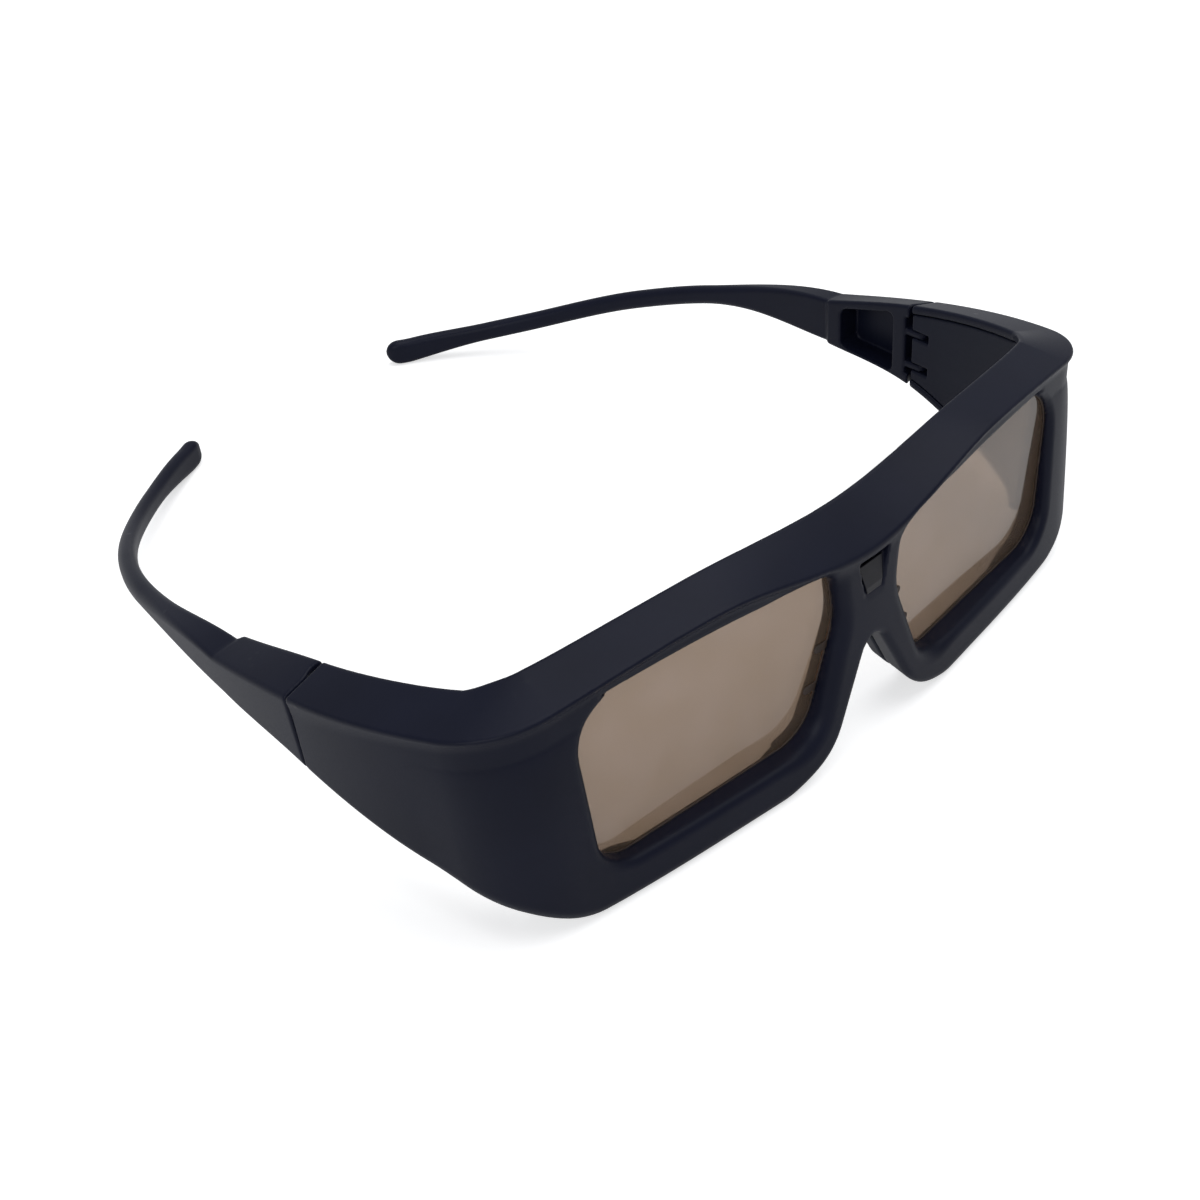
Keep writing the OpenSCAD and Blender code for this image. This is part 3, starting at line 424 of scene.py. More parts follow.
def sensorVoid(x, y, z):
    t, half = sensorSection(z)
    around = np.maximum(np.abs(x) - half, z - sensorTop) - sensor["groove"]
    slot = np.maximum(y - bridgeFace - sensor["depth"] - sensor["slotDeep"],
                      sensorTop - sensor["slotH"] - z)
    wedge = np.maximum(np.minimum(y - bridgeFace - sensor["depth"]*t, slot), around)
    hole = np.hypot(x, z - sensorTop + sensor["apertureDrop"]) - sensor["aperture"]
    return np.minimum(wedge, np.maximum(hole, y - bridgeFace - sensor["apertureDeep"]))


# window that lies on the sloping floor of the recess and leaves a dark slot above it
def windowField(x, y, z):
    t, half = sensorSection(z)
    floor = bridgeFace + sensor["depth"]*t
    front = np.maximum(floor - sensor["plate"], bridgeFace + sensor["faceGap"])
    plate = np.maximum(front - y, y - floor + sensor["floorGap"])
    foot = sensorTop - sensor["height"] + sensor["footGap"]
    tall = boxDistance(z, foot, sensorTop - sensor["slotH"])
    return np.maximum(plate, np.maximum(np.abs(x) - (half - sensor["plateGap"]), tall))


windowPiece = mouldedPiece("sensor_window", windowField, low=(-3.8, planCurve["frontY"] + 0.3, 30.4),
                           high=(3.8, planCurve["frontY"] + 2.5, 37.4), pitch=(0.12, 0.08, 0.12),
                           toWorld=sameFrame)
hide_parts("ir_window")
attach(windowPiece, "front")

# front moulding: brow, rims, bridge and outer walls of the wings
frontShell = {
    "lipH": 1.3, "lipRound": 0.8, "ridgeRound": 0.8, "backRound": 0.8, "rimRound": 2.6,
    "core": 5.2, "leadGap": 0.6, "fillet": 1.2, "edgeRound": 0.35, "change": 2.3,
    "rimFrom": 11.0, "rimRun": 8.0, "backOpen": 3.0,
    "rake": 2.2, "rakeFrom": 6.0, "rakeEnd": 25.0, "rakeFade": 20.0,     # the rims' foot stands forward
    "bowMid": 1.5, "bowCorner": 0.6, "bowRun": 14.0,         # exponents of its curve, and how they change
    "cornerRound": 2.0, "roundRun": 12.0, "roundShift": 4.0,             # softer edge under the corner
    "cornerFill": 0.7, "fillRun": 9.0,       # the brow is a little wider in the corner
}


def frontField(s, u, z):
    p, o = frontShell, lensOpening
    a = np.abs(s)
    x, y = planPoint(s, u)
    w, lip, zt, zr, zb = widthU(a), lipU(a), topZ(a), ridgeZ(a), baseZ(a)
    rise = (zt - zr)/w
    lean = np.sqrt(1 + rise*rise)
    top = (z - zr - rise*u)/lean
    under = -((u - lip)*p["lipH"] + (z - zr + p["lipH"])*lip)/np.hypot(p["lipH"], lip)
    down = np.clip((zr - p["rakeFrom"] - z)/(zr - p["rakeFrom"] - zb), 0, 1)
    bow = mix(p["bowMid"], p["bowCorner"], smooth((a - browS + p["bowRun"])/p["bowRun"]))
    rake = p["rake"]*down**bow*smooth((browS + p["rakeEnd"] - a)/p["rakeFade"])
    face = eitherRound(lip - rake - u, under, p["lipRound"])
    low = besideArch(x, y, z, zb, 0)
    lx, ly = lensLocal(x, y)
    opening = lensDistance(rimGrid, lx, z)
    rimRound = mix(noseArch["edgeRound"], p["rimRound"], smooth((a - p["rimFrom"])/p["rimRun"]))
    rimRound = rimRound + p["cornerRound"]*np.exp(-((a - splitS - p["roundShift"])/p["roundRun"])**2)
    hull = bothRound(face, low, rimRound)
    roll = mix(o["roll"], o["noseRoll"], smooth((-lx - o["rollFrom"])/o["rollRun"]))
    hull = bothRound(hull, -opening, roll)
    hull = bothRound(hull, top, p["ridgeRound"])
    fill = p["cornerFill"]*np.exp(-((a - splitS)/p["fillRun"])**2)
    hull = bothRound(hull, u - w - fill, p["backRound"])
    change = smooth((a - splitS)/p["change"])
    front = mix(p["core"], lip + wall, change)
    back = mix(p["core"] + p["leadGap"], w + p["backOpen"], change)
    hollow = bothRound(front - u, (z - zr - rise*u + wall)/lean, p["fillet"])
    hollow = bothRound(hollow, eitherRound(zb + wall - z, back - u, p["edgeRound"]), p["edgeRound"])
    shell = bothRound(hull, -hollow, p["edgeRound"])
    cell = lensDistance(cellGrid, lx, z)
    seat = np.maximum(cell - o["seatMargin"], o["seatDepth"] - ly)
    shell = np.maximum(shell, -seat)
    shell = bothRound(shell, -sensorVoid(x, y, z), sensor["edgeRound"])
    return bothRound(shell, a - jointS, p["edgeRound"])


frontPiece = mouldedPiece("front_moulding", frontField, low=(-jointS - 1, -2.2, -0.9),
                          high=(jointS + 1, 11.4, 48.6), pitch=(0.45, 0.32, 0.36), toWorld=sweptToWorld)
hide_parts("front_frame")
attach(frontPiece, "front")

# hinge at the end of the wing, set out in a frame with x outwards and y back along the wing
hinge = {"pinInset": 1.7, "pinBack": 1.7, "earR": 1.4, "earT": 1.3, "earLow": 22.9, "earHigh": 30.3,
         "earGap": 0.25, "jointGap": 0.3, "slotLen": 4.4, "earLen": 3.6, "earRound": 0.25}
pinX = hinge["pinInset"] - sweep["jointW"]
jointX, jointY = (float(v) for v in planPoint(np.array(jointS), 0.0))
jointTurn = float(arcRows[3][4]) - math.pi/2


def jointLocal(x, y):
    dx, dy = x - jointX, y - jointY
    return (dx*math.cos(jointTurn) + dy*math.sin(jointTurn),
            dy*math.cos(jointTurn) - dx*math.sin(jointTurn))


# temples: hollow behind the joint, with two hinge ears, then a slim arm with a rounded end
temple = {
    "tipRound": 3.4, "tipMost": 0.985,
    "armRound": 1.7, "topRound": 0.8, "outerRound": 2.6, "edgeRound": 0.4,
    "pocketFrom": 5.0, "pocketTo": 19.4, "pocketRound": 1.6, "floorT": 0.9, "roofT": 2.0, "lip": 0.3,
    "stripY": 1.6, "stripIn": 2.0, "stripLow": 1.8, "stripHigh": 1.1,    # notch in which the ears stand
}


def templeField(s, u, z):
    t = temple
    x, y = planPoint(s, u)
    w, zt, zr, zb, k = widthU(s), topZ(s), ridgeZ(s), baseZ(s), armShare(s)
    over = (s - tipS + t["tipRound"])/t["tipRound"]
    g = np.sqrt(1 - np.clip(over, 0, t["tipMost"])**2)
    cu, cz = w/2, (zt + zb)/2
    uu, zz = cu + (u - cu)/g, cz + (z - cz)/g
    rise = (zt - zr)/w
    top = (zz - zr - rise*uu)/np.sqrt(1 + rise*rise)
    outer = t["lip"]*(1 - k)*(zr - zz)/(zr - zb) - uu
    arm = bothRound(outer, zb - zz, mix(t["outerRound"], t["armRound"], k))
    arm = bothRound(arm, top, mix(t["topRound"], t["armRound"], k))
    arm = bothRound(arm, uu - w, mix(t["topRound"], t["armRound"], k))*g
    arm = np.where(over > t["tipMost"], np.maximum(arm, (over - 1)*t["tipRound"]), arm)
    arm = bothRound(arm, jointS + hinge["jointGap"] - s, t["edgeRound"])
    jx, jy = jointLocal(x, y)
    at = [jointS + v for v in (t["pocketFrom"], t["pocketTo"])]
    share = (jy - t["pocketFrom"])/(t["pocketTo"] - t["pocketFrom"])
    floorZ = mix(*(float(baseZ(np.array(v))) + t["floorT"] for v in at), share)
    roofZ = mix(*(float(topZ(np.array(v))) - t["roofT"] for v in at), share)
    pocket = bothRound(boxDistance(jy, t["pocketFrom"], t["pocketTo"]), boxDistance(z, floorZ, roofZ),
                       t["pocketRound"])
    pocket = bothRound(pocket, jx + t["lip"] + wall, t["edgeRound"])
    arm = bothRound(arm, -pocket, t["edgeRound"])
    clear = math.hypot(hinge["pinInset"], hinge["pinBack"]) + hinge["jointGap"]
    fromPin = np.hypot(jx - pinX, jy + hinge["pinBack"])
    arm = bothRound(arm, clear - fromPin, t["edgeRound"])
    low = float(baseZ(np.array(jointS))) + t["floorT"] + t["stripLow"]
    high = float(topZ(np.array(jointS))) - t["roofT"] - t["stripHigh"]
    strip = np.maximum(np.maximum(jy - t["stripY"], jx - pinX - t["stripIn"]), boxDistance(z, low, high))
    arm = bothRound(arm, -strip, t["edgeRound"])
    for earZ in (hinge["earLow"], hinge["earHigh"]):
        shank = np.maximum(np.abs(jx - pinX) - hinge["earR"],
                           boxDistance(jy, -hinge["pinBack"], hinge["earLen"]))
        ear = np.minimum(fromPin - hinge["earR"], shank)
        arm = np.minimum(arm, bothRound(ear, np.abs(z - earZ) - hinge["earT"]/2, hinge["earRound"]))
    return arm


leftTemple = mouldedPiece("temple_left", templeField, low=(jointS - 4, -0.9, -0.9),
                          high=(tipS + 1, 9.6, 38.2), pitch=(0.42, 0.3, 0.32), toWorld=sweptToWorld)
rightTemple = mirroredPiece("temple_right", leftTemple)
for piece, side in ((leftTemple, "left"), (rightTemple, "right")):
    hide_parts(side + "_temple")
    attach(piece, side + "_arm")

# covers of the wings, with the block that carries the hinge pin
wingCover = {
    "inset": 0.25, "t": 1.5, "gap": 0.2, "seam": 0.1, "edgeRound": 0.35,
    "blockLen": 5.2, "blockW": 4.6, "endT": 1.2, "endW": 5.65, "gusset": 1.2,
    "doorSide": 22.5, "doorRim": 2.2, "doorGap": 0.15, "doorRound": 2.0, "doorBack": 18.0,
}


def coverField(s, u, z):
    c = wingCover
    x, y = planPoint(s, u)
    w = widthU(s)
    inner, outer = w - c["inset"], w - c["inset"] - c["t"]
    jx, jy = jointLocal(x, y)
    plate = np.maximum(boxDistance(u, outer, inner), boxDistance(s, splitS + c["gap"], jointS - c["seam"]))
    low = c["inset"] - sweep["jointW"]
    block = np.maximum(boxDistance(jx, low, low + c["blockW"]), boxDistance(jy, -c["blockLen"], -c["seam"]))
    end = np.maximum(boxDistance(jx, low, low + c["endW"]), boxDistance(jy, -c["endT"], -c["seam"]))
    roof = underBrow(s, u) - c["gap"]
    end = np.maximum(end, z - roof + np.maximum(0, jx - low - c["endW"] + c["gusset"]))
    piece = np.minimum(plate, np.minimum(block, end))
    piece = bothRound(piece, boxDistance(z, baseZ(s) + wall + c["gap"], roof), c["edgeRound"])
    reach = pinX + hinge["earR"] + hinge["jointGap"]
    for earZ in (hinge["earLow"], hinge["earHigh"]):
        slot = np.maximum(np.abs(z - earZ) - hinge["earT"]/2 - hinge["earGap"],
                          np.maximum(-hinge["slotLen"] - jy, jx - reach))
        piece = bothRound(piece, -slot, c["edgeRound"])
    return piece


def doorCoverField(s, u, z):
    c = wingCover
    x, y = planPoint(s, u)
    middle = jointS - c["doorBack"]
    half = c["doorSide"]/2
    bx, by = (float(v) for v in planPoint(np.array(middle), 0.0))
    turn = float(arcRows[2][4]) + (middle - wingS)/planCurve["wingR"] - math.pi/2
    dy = (y - by)*math.cos(turn) - (x - bx)*math.sin(turn)
    outer = sweep["jointW"] - c["inset"] - c["t"]
    ends = np.array([middle - half, middle + half])
    share = (dy + half)/(2*half)
    floorZ = mix(*(baseZ(ends) + wall + c["doorRim"]), share)
    roofZ = mix(*(underBrow(ends, outer) - c["doorRim"]), share)
    door = bothRound(np.abs(dy) - half, boxDistance(z, floorZ, roofZ), c["doorRound"]) - c["doorGap"]
    return bothRound(coverField(s, u, z), -door, c["edgeRound"])


coverGrid = {"low": (splitS - 0.6, 3.6, 5.0), "high": (jointS + 0.8, 10.6, 44.5),
             "pitch": (0.36, 0.28, 0.34)}
leftCover = mouldedPiece("wing_cover_left", coverField, **coverGrid, toWorld=sweptToWorld)
doorCover = mouldedPiece("wing_cover_mould", doorCoverField, **coverGrid, toWorld=sweptToWorld)
rightCover = mirroredPiece("wing_cover_right", doorCover)
bpy.data.objects.remove(doorCover)
for piece, side in ((leftCover, "left"), (rightCover, "right")):
    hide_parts(side + "_wing_cover")
    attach(piece, "front")

# rear cover of the rims, which clamps the shutter cells
rearCover = {
    "front": 5.9, "t": 2.0, "flange": 0.9, "flangeLap": 2.0, "flexDrop": 1.1, "padGap": 1.0,
    "window": 1.7, "flare": 1.1, "flareMost": 2.6, "clamp": 2.4, "seam": 0.1, "edgeRound": 0.5,
    "sideMost": 0.7, "sideFrom": 12.0,       # less flare at the outer side and at the nose
    "noseMost": 0.2, "noseFrom": 8.0, "mostRun": 8.0,
    "screwOut": 4.5, "screwMidZ": 27.5, "screwSideZ": 25.2,
    "headR": 1.5, "headDeep": 0.9, "headRound": 0.2, "boss": 0.6,
}
rearBack = rearCover["front"] + rearCover["t"]
screwS = np.array(bridgeW/2 + lensW + rearCover["screwOut"])
screwX, screwY = (float(v) for v in planPoint(screwS, rearBack))
screwSpots = [(0.0, planCurve["frontY"] + rearBack, rearCover["screwMidZ"])]
screwSpots += [(x, screwY, rearCover["screwSideZ"]) for x in (screwX, -screwX)]


def rearField(s, u, z):
    c, o = rearCover, lensOpening
    a = np.abs(s)
    x, y = planPoint(s, u)
    shelf = underBrow(a, rearBack - c["flange"]) - c["flexDrop"]
    body = bothRound(boxDistance(u, c["front"], rearBack), boxDistance(z, baseZ(a), shelf), c["edgeRound"])
    flange = np.maximum(boxDistance(u, rearBack - c["flange"], rearBack),
                        boxDistance(z, shelf - c["flangeLap"], underBrow(a, u) - c["seam"]))
    lx, ly = lensLocal(x, y)
    opening = lensDistance(cellGrid, lx, z)
    clamp = np.maximum(opening - c["clamp"], boxDistance(ly, o["cellBack"] + c["seam"], c["front"]))
    piece = np.minimum(np.minimum(body, flange), clamp)
    most = mix(c["flareMost"], c["sideMost"], smooth((lx - c["sideFrom"])/c["mostRun"]))
    most = mix(most, c["noseMost"], smooth((-lx - c["noseFrom"])/c["mostRun"]))
    spread = np.clip(c["flare"]*(ly - o["cellBack"] - c["seam"]), 0, most)
    flare = c["window"] + spread - opening
    cut = np.maximum(np.minimum(flare, o["base"] + o["height"] - z), c["window"] - opening)
    for hx, _, hz in screwSpots:             # the window leaves a round boss for each screw
        cut = eitherRound(cut, np.hypot(x - hx, z - hz) - c["headR"] - c["boss"], c["edgeRound"])
    piece = bothRound(piece, cut, c["edgeRound"])
    seat = np.maximum(opening - o["seatMargin"], ly - o["cellBack"] - c["seam"])
    piece = np.maximum(piece, -seat)
    piece = bothRound(piece, besideArch(x, y, z, baseZ(a), c["padGap"]), c["edgeRound"])
    for hx, hy, hz in screwSpots:
        head = np.maximum(np.hypot(x - hx, z - hz) - c["headR"], hy - c["headDeep"] - y)
        piece = bothRound(piece, -head, c["headRound"])
    return bothRound(piece, a - splitS, c["edgeRound"])


rearPiece = mouldedPiece("rim_cover", rearField, low=(-splitS - 1, 2.6, -0.9),
                         high=(splitS + 1, 8.8, 47.2), pitch=(0.45, 0.3, 0.38), toWorld=sweptToWorld)
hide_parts("rear_cover")
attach(rearPiece, "front")

# rubber seal round each shutter cell, flush with the opening, with two round tabs on the nose side
lensSeal = {"front": 1.22, "lipBack": 1.5, "back": 3.5, "inner": 1.9, "outer": 2.3, "show": 0.05,
            "tabR": 0.8, "tabReach": 1.2, "tabRoot": 1.5, "tabLow": 8.3, "tabHigh": 15.6}


def sealField(x, y, z):
    d, o = lensSeal, lensOpening
    rim, cell = lensDistance(rimGrid, x, z), lensDistance(cellGrid, x, z)
    lip = np.maximum(boxDistance(y, d["front"], d["lipBack"]),
                     np.maximum(cell - d["outer"], -rim - d["show"]))
    skirt = np.maximum(boxDistance(y, d["front"], d["back"]), boxDistance(cell, d["inner"], d["outer"]))
    seal = np.minimum(lip, skirt)
    for tabZ in (o["base"] + d["tabLow"], o["base"] + d["tabHigh"]):
        edge = mix(o["noseSlant"], 0, (tabZ - o["base"])/(o["bend"]*o["height"])) - lensW/2
        tab = np.hypot(np.maximum(x - edge - d["tabReach"], 0), z - tabZ) - d["tabR"]
        tab = np.maximum(tab, np.maximum(boxDistance(y, d["front"], d["lipBack"]), edge - d["tabRoot"] - x))
        seal = np.minimum(seal, tab)
    return seal


def lensToWorld(x, y, z):
    return (lensS + x*math.cos(lensYaw) - y*math.sin(lensYaw),
            lensY + x*math.sin(lensYaw) + y*math.cos(lensYaw), z)


# shutter cell: a flat prism, clear on both faces and dark round its sealed edge
def shutterCell():
    outline = lensOutline(**cellShape)
    ahead, behind = np.roll(outline, -1, 0), np.roll(outline, 1, 0)
    outwards = np.stack([(ahead - behind)[:, 1], -(ahead - behind)[:, 0]], 1)
    outline = outline + lensOpening["margin"]*outwards/np.linalg.norm(outwards, axis=1)[:, None]
    count = len(outline)
    depths = lensOpening["cellFront"], lensOpening["cellBack"]
    points = [lensToWorld(x, y, z) for y in depths for x, z in outline]
    faces = [list(range(count)), list(range(2*count - 1, count - 1, -1))]
    faces += [[(i + 1) % count, i, count + i, count + (i + 1) % count] for i in range(count)]
    mesh = bpy.data.meshes.new("shutter_cell_left")
    mesh.from_pydata(np.array(points)*mm, [], faces)
    mesh.polygons.foreach_set("material_index", np.array([0, 0] + [1]*count, dtype=np.int32))
    mesh.update()
    cell = bpy.data.objects.new("shutter_cell_left", mesh)
    bpy.context.scene.collection.objects.link(cell)
    return cell


leftCell = shutterCell()
rightCell = mirroredPiece("shutter_cell_right", leftCell)
for piece, side in ((leftCell, "left"), (rightCell, "right")):
    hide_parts(side + "_lens")
    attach(piece, "front")

leftSeal = mouldedPiece("cell_seal_left", sealField, low=(-29.2, 1.0, 5.0), high=(28.8, 3.8, 45.4),
                        pitch=(0.25, 0.11, 0.25), toWorld=lensToWorld)
rightSeal = mirroredPiece("cell_seal_right", leftSeal)
for piece, side in ((leftSeal, "left"), (rightSeal, "right")):
    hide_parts(side + "_lens_seal")
    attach(piece, "front")

# soft nose piece that lines the arch behind the front moulding
nosePad = {"t": 0.9, "proud": 0.15, "foot": 3.2, "back": 1.4, "edgeRound": 0.45, "endRound": 0.15}


def padField(x, y, z):
    n = nosePad
    depth = y - planCurve["frontY"]
    ring = bothRound(archVoid(x, y, z, n["t"]), besideArch(x, y, z, 0, -n["proud"]), n["endRound"])
    ring = bothRound(ring, boxDistance(depth, rearCover["front"], rearBack + n["back"]), n["edgeRound"])
    return bothRound(ring, n["foot"] - z, n["edgeRound"])


padPiece = mouldedPiece("nose_piece", padField, low=(-17, planCurve["frontY"] + 5, 2.4),
                        high=(17, planCurve["frontY"] + 10.2, 25), pitch=(0.2, 0.22, 0.22),
                        toWorld=sameFrame)
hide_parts("nose_pad")
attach(padPiece, "front")
print("pieces moulded")


def linear(code):
    values = [int(code[i:i + 2], 16)/255 for i in (1, 3, 5)]
    return tuple(v/12.92 if v <= 0.04045 else ((v + 0.055)/1.055)**2.4 for v in values) + (1.0,)


def newMaterial(name):
    material = bpy.data.materials.new(name)
    material.use_nodes = True
    material.node_tree.nodes.clear()
    return material, material.node_tree


def addNode(tree, kind, inputs=None, **settings):
    node = tree.nodes.new(kind)
    for key, value in settings.items():
        setattr(node, key, value)
    for socket, value in (inputs or {}).items():
        if isinstance(value, bpy.types.NodeSocket):
            tree.links.new(value, node.inputs[socket])
        else:
            node.inputs[socket].default_value = value
    return node


def setRamp(node, stops):
    ramp = node.color_ramp
    for element, (at, colour) in zip(ramp.elements, stops):
        element.position, element.color = at, colour


# injection moulded ABS: a spark eroded mould leaves a fine satin grain, and handling polishes the edges
def mouldedAbs(name, dark, light, rough, grainMm, specular):
    material, tree = newMaterial(name)
    place = addNode(tree, "ShaderNodeTexCoord").outputs["Object"]
    cloud = addNode(tree, "ShaderNodeTexNoise", {"Vector": place, "Scale": 1/(14*mm), "Detail": 3.0})
    tone = addNode(tree, "ShaderNodeValToRGB", {"Fac": cloud.outputs["Fac"]})
    setRamp(tone, [(0.3, linear(dark)), (0.7, linear(light))])
    grain = addNode(tree, "ShaderNodeTexNoise", {"Vector": place, "Scale": 1/(grainMm*mm), "Detail": 2.0})
    edge = addNode(tree, "ShaderNodeNewGeometry").outputs["Pointiness"]
    worn = addNode(tree, "ShaderNodeMapRange", {"Value": edge, "From Min": 0.52, "From Max": 0.6,
                                                "To Min": rough, "To Max": rough - 0.1})
    mottle = addNode(tree, "ShaderNodeMapRange", {"Value": grain.outputs["Fac"],
                                                  "To Min": -0.05, "To Max": 0.05})
    gloss = addNode(tree, "ShaderNodeMath", {0: worn.outputs["Result"], 1: mottle.outputs["Result"]},
                    operation="ADD")
    bump = addNode(tree, "ShaderNodeBump", {"Height": grain.outputs["Fac"], "Strength": 0.18,
                                            "Distance": 0.03*mm})
    shader = addNode(tree, "ShaderNodeBsdfPrincipled", {
        "Base Color": tone.outputs["Color"], "Roughness": gloss.outputs["Value"],
        "Normal": bump.outputs["Normal"], "IOR": 1.5, "Specular IOR Level": specular})
    addNode(tree, "ShaderNodeOutputMaterial", {"Surface": shader.outputs["BSDF"]})
    return material


# the grain of 0.15 mm is drawn at 0.3 and 0.4 mm, as coarse as it needs to be to show
shellAbs = mouldedAbs("satin_abs_navy", "#101322", "#141727", 0.42, 0.3, 0.12)
coverAbs = mouldedAbs("satin_abs_inner", "#111423", "#151928", 0.48, 0.4, 0.12)


# thermoplastic rubber: moulded matt, a little paler where it has rubbed
def mouldedRubber(name, dark, light, rough):
    material, tree = newMaterial(name)
    place = addNode(tree, "ShaderNodeTexCoord").outputs["Object"]
    cloud = addNode(tree, "ShaderNodeTexNoise", {"Vector": place, "Scale": 1/(3*mm), "Detail": 4.0})
    tone = addNode(tree, "ShaderNodeValToRGB", {"Fac": cloud.outputs["Fac"]})
    setRamp(tone, [(0.35, linear(dark)), (0.65, linear(light))])
    grain = addNode(tree, "ShaderNodeTexNoise", {"Vector": place, "Scale": 1/(0.25*mm)})
    bump = addNode(tree, "ShaderNodeBump", {"Height": grain.outputs["Fac"], "Strength": 0.25,
                                            "Distance": 0.04*mm})
    shader = addNode(tree, "ShaderNodeBsdfPrincipled", {
        "Base Color": tone.outputs["Color"], "Roughness": rough, "Normal": bump.outputs["Normal"],
        "IOR": 1.5, "Specular IOR Level": 0.35})
    addNode(tree, "ShaderNodeOutputMaterial", {"Surface": shader.outputs["BSDF"]})
    return material


noseRubber = mouldedRubber("matt_rubber_nose", "#161a27", "#1c2030", 0.62)
sealRubber = mouldedRubber("matt_rubber_seal", "#3a312c", "#453a34", 0.6)
edgeSealant = mouldedRubber("dark_edge_sealant", "#0b0b0f", "#111015", 0.7)


# shutter cell: two sheets of glass with brownish polarising film, which halves the light and warms it
def shutterGlass():
    material, tree = newMaterial("polarised_shutter_glass")
    place = addNode(tree, "ShaderNodeTexCoord").outputs["Object"]
    cloud = addNode(tree, "ShaderNodeTexNoise", {"Vector": place, "Scale": 1/(9*mm), "Detail": 3.0})
    tone = addNode(tree, "ShaderNodeValToRGB", {"Fac": cloud.outputs["Fac"]})
    setRamp(tone, [(0.3, linear("#a68f79")), (0.7, linear("#ad9785"))])
    smear = addNode(tree, "ShaderNodeTexNoise", {"Vector": place, "Scale": 1/(4*mm), "Detail": 5.0})
    gloss = addNode(tree, "ShaderNodeMapRange", {"Value": smear.outputs["Fac"],
                                                 "To Min": 0.04, "To Max": 0.1})
    shader = addNode(tree, "ShaderNodeBsdfPrincipled", {
        "Base Color": tone.outputs["Color"], "Roughness": gloss.outputs["Result"], "IOR": 1.5,
        "Transmission Weight": 0.8, "Specular IOR Level": 0.5})
    addNode(tree, "ShaderNodeOutputMaterial", {"Surface": shader.outputs["BSDF"]})
    return material


lensGlass = shutterGlass()


# infrared window: polycarbonate dyed almost black, moulded with a finely matt face
def darkWindow():
    material, tree = newMaterial("dyed_polycarbonate_window")
    place = addNode(tree, "ShaderNodeTexCoord").outputs["Object"]
    cloud = addNode(tree, "ShaderNodeTexNoise", {"Vector": place, "Scale": 1/(2*mm)})
    tone = addNode(tree, "ShaderNodeValToRGB", {"Fac": cloud.outputs["Fac"]})
    setRamp(tone, [(0.3, linear("#0d0d14")), (0.7, linear("#14131c"))])
    shader = addNode(tree, "ShaderNodeBsdfPrincipled", {
        "Base Color": tone.outputs["Color"], "Roughness": 0.42, "IOR": 1.58, "Specular IOR Level": 0.2})
    addNode(tree, "ShaderNodeOutputMaterial", {"Surface": shader.outputs["BSDF"]})
    return material


windowPlastic = darkWindow()


# bright steel of pins, screws and contacts: drawn or stamped, with a fine uneven sheen
def drawnSteel():
    material, tree = newMaterial("drawn_steel")
    place = addNode(tree, "ShaderNodeTexCoord").outputs["Object"]
    sheen = addNode(tree, "ShaderNodeTexNoise", {"Vector": place, "Scale": 1/(0.4*mm), "Detail": 4.0})
    tone = addNode(tree, "ShaderNodeValToRGB", {"Fac": sheen.outputs["Fac"]})
    setRamp(tone, [(0.3, linear("#a7aaae")), (0.7, linear("#bfc2c5"))])
    gloss = addNode(tree, "ShaderNodeMapRange", {"Value": sheen.outputs["Fac"],
                                                 "To Min": 0.22, "To Max": 0.4})
    shader = addNode(tree, "ShaderNodeBsdfPrincipled", {
        "Base Color": tone.outputs["Color"], "Metallic": 1.0, "Roughness": gloss.outputs["Result"]})
    addNode(tree, "ShaderNodeOutputMaterial", {"Surface": shader.outputs["BSDF"]})
    return material


steel = drawnSteel()


# polyimide leads and the soldermask of the board: copper tracks show as paler stripes under the film
def trackedFilm(name, film, track, pitchMm, rough):
    material, tree = newMaterial(name)
    place = addNode(tree, "ShaderNodeTexCoord").outputs["Object"]
    scale = math.pi/(10*pitchMm*mm)          # one stripe of the wave texture to each pitch
    stripes = addNode(tree, "ShaderNodeTexWave", {"Vector": place, "Scale": scale, "Distortion": 0.6},
                      bands_direction="Z")
    tone = addNode(tree, "ShaderNodeValToRGB", {"Fac": stripes.outputs["Fac"]})
    setRamp(tone, [(0.45, linear(film)), (0.6, linear(track))])
    shader = addNode(tree, "ShaderNodeBsdfPrincipled", {"Base Color": tone.outputs["Color"],
                                                        "Roughness": rough})
    addNode(tree, "ShaderNodeOutputMaterial", {"Surface": shader.outputs["BSDF"]})
    return material


polyimide = trackedFilm("polyimide_film", "#7a4a1c", "#96622c", 0.3, 0.35)
soldermask = trackedFilm("board_soldermask", "#1d4a2c", "#2b6340", 0.8, 0.4)

finishes = {
    shellAbs: [frontPiece, leftTemple, rightTemple],
    coverAbs: [leftCover, rightCover, rearPiece, "battery_door", "ir_receiver"],
    noseRubber: [padPiece],
    sealRubber: [leftSeal, rightSeal],
    lensGlass: [leftCell, rightCell],
    windowPlastic: [windowPiece],
    steel: ["cover_screws", "left_hinge_pin", "right_hinge_pin", "battery", "battery_spring",
            "battery_clip", "battery_door_screw"],
    polyimide: ["brow_flex", "left_lens_tail", "right_lens_tail"],
    soldermask: ["driver_board"],
}
for material, pieces in finishes.items():
    for piece in pieces:
        target = cadNodes[piece] if isinstance(piece, str) else piece
        if not target.material_slots:
            target.data.materials.append(material)
        for materialSlot in target.material_slots:
            materialSlot.material = material
for piece in (leftCell, rightCell):          # a dark sealant closes the edge of the cell
    piece.data.materials.append(edgeSealant)
print("materials given to", sum(len(p) for p in finishes.values()), "pieces")

# pale table with a soft shadow, lifted to white for the camera, and by a share in gloss and through glass
table = {"side": 6000.0, "colour": "#e6e6e6", "lift": 0.6, "inGloss": 0.3, "throughGlass": 0.3}


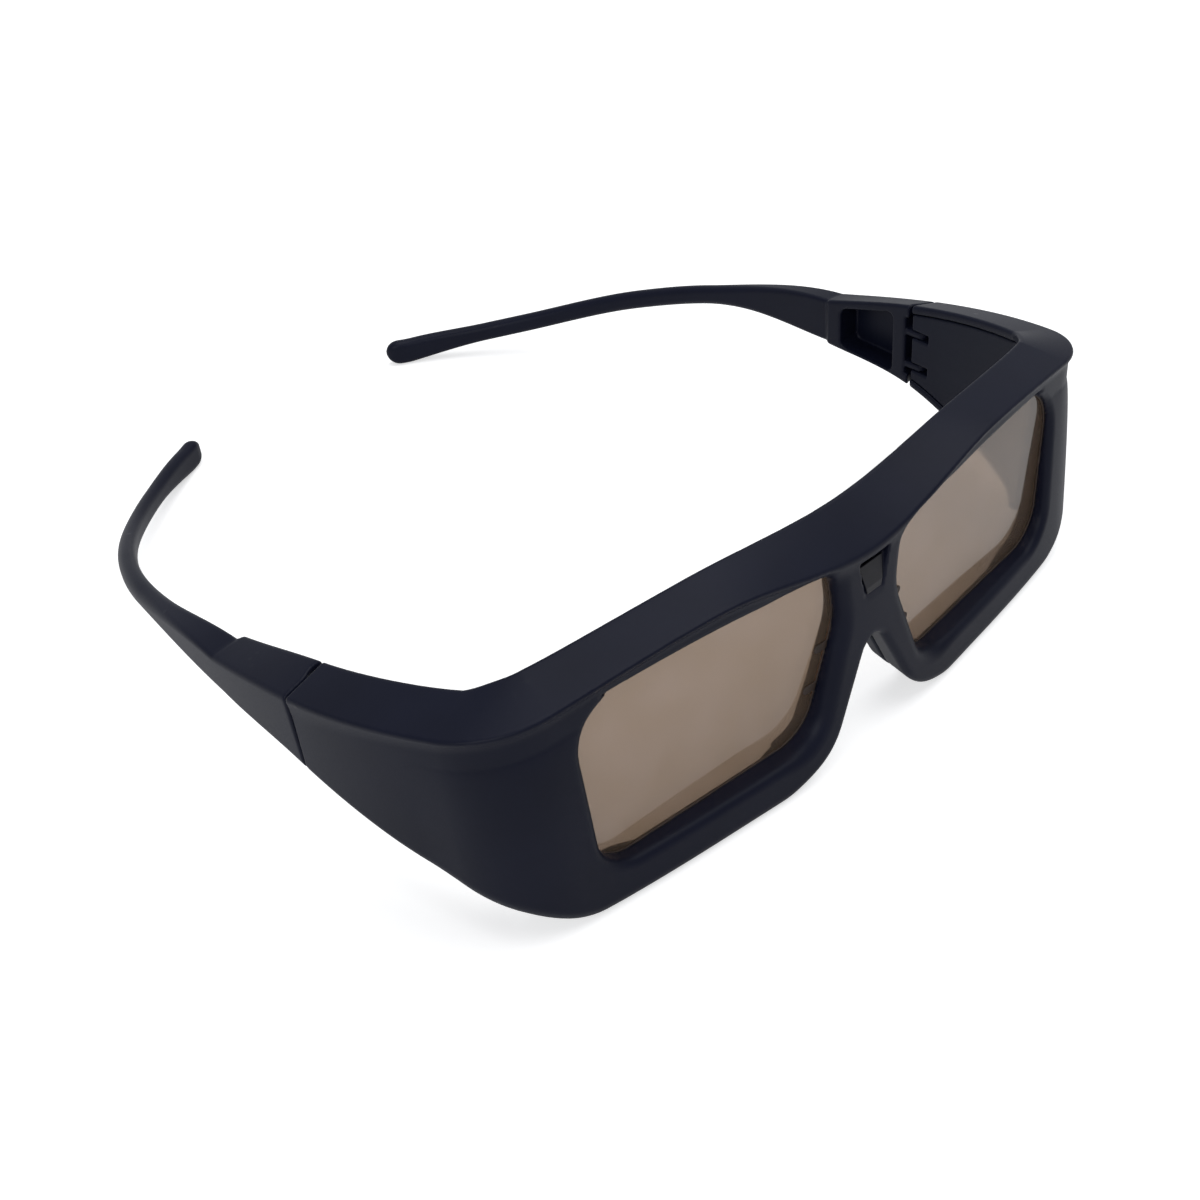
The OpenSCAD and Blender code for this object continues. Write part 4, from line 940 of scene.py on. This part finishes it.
# how much of the white background a ray sees
def whiteRays(tree, inGloss, throughGlass):
    path = addNode(tree, "ShaderNodeLightPath")
    seen = path.outputs["Is Camera Ray"]
    for ray, share in (("Is Glossy Ray", inGloss), ("Is Transmission Ray", throughGlass)):
        part = addNode(tree, "ShaderNodeMath", {0: path.outputs[ray], 1: share}, operation="MULTIPLY")
        seen = addNode(tree, "ShaderNodeMath", {0: seen, 1: part.outputs["Value"]},
                       operation="MAXIMUM").outputs["Value"]
    return seen


def paleTable():
    material, tree = newMaterial("pale_table")
    seen = whiteRays(tree, table["inGloss"], table["throughGlass"])
    lift = addNode(tree, "ShaderNodeMath", {0: seen, 1: table["lift"]}, operation="MULTIPLY")
    shader = addNode(tree, "ShaderNodeBsdfPrincipled", {
        "Base Color": linear(table["colour"]), "Roughness": 0.9, "Specular IOR Level": 0.1,
        "Emission Color": (1, 1, 1, 1), "Emission Strength": lift.outputs["Value"]})
    addNode(tree, "ShaderNodeOutputMaterial", {"Surface": shader.outputs["BSDF"]})
    return material


half = table["side"]/2*mm
tableMesh = bpy.data.meshes.new("table")
tableCorners = [(-half, -half, 0), (half, -half, 0), (half, half, 0), (-half, half, 0)]
tableMesh.from_pydata(tableCorners, [], [(0, 1, 2, 3)])
tableMesh.materials.append(paleTable())
tablePiece = bpy.data.objects.new("table", tableMesh)
bpy.context.scene.collection.objects.link(tablePiece)


def placed(at, right, up, forward):
    return Matrix([[right[i], up[i], -forward[i], at[i]*mm] for i in range(3)] + [[0, 0, 0, 1]])


# soft studio light: one large box overhead, a weaker one from the front left
lamps = {
    "overhead": {"at": (250, -50, 1080), "size": 1200, "watts": 9.0},
    "front_fill": {"at": (-950, -450, 600), "size": 700, "watts": 4.0},
}
for name, lamp in lamps.items():
    light = bpy.data.lights.new(name, "AREA")
    light.size = lamp["size"]*mm
    light.energy = lamp["watts"]
    holder = bpy.data.objects.new(name, light)
    at = np.array(lamp["at"], float)
    forward = -at/np.linalg.norm(at)
    side = np.cross(forward, (0, 1, 0.1))
    side /= np.linalg.norm(side)
    up = np.cross(side, forward)
    holder.matrix_world = placed(at, side, up, forward)
    bpy.context.scene.collection.objects.link(holder)

# studio room: white for the camera and through the glass, a dimmer grey for the light on the object
studio = {"grey": "#c8ccd4", "strength": 0.35, "white": 1.0, "inGloss": 0.3, "throughGlass": 1.0}
world = bpy.data.worlds.new("studio")
bpy.context.scene.world = world
world.use_nodes = True
tree = world.node_tree
tree.nodes.clear()
room = addNode(tree, "ShaderNodeBackground", {"Color": linear(studio["grey"]),
                                              "Strength": studio["strength"]})
white = addNode(tree, "ShaderNodeBackground", {"Color": (1, 1, 1, 1), "Strength": studio["white"]})
seen = whiteRays(tree, studio["inGloss"], studio["throughGlass"])
backdrop = addNode(tree, "ShaderNodeMixShader", {0: seen, 1: room.outputs["Background"],
                                                 2: white.outputs["Background"]})
addNode(tree, "ShaderNodeOutputWorld", {"Surface": backdrop.outputs["Shader"]})

# camera at the photograph's view, worked out for a square picture of 1200 pixels
view = {"at": (-154.38, -207.21, 181.91), "right": (0.72461, -0.68329, -0.08977),
        "forward": (0.50277, 0.61322, -0.60924), "focal": 1523.35, "pixels": 1200.0, "sensor": 36.0}
forward = np.array(view["forward"])/np.linalg.norm(view["forward"])
right = np.array(view["right"]) - forward*(forward @ np.array(view["right"]))
right /= np.linalg.norm(right)
up = np.cross(right, forward)
cameraData = bpy.data.cameras.new("view")
cameraData.sensor_width = view["sensor"]
cameraData.lens = view["sensor"]*view["focal"]/view["pixels"]
cameraData.clip_start, cameraData.clip_end = 0.01, 20
camera = bpy.data.objects.new("view", cameraData)
camera.matrix_world = placed(view["at"], right, up, forward)
bpy.context.scene.collection.objects.link(camera)
bpy.context.scene.camera = camera
bpy.context.scene.view_settings.view_transform = "Standard"
print("stage, lamps and camera set")
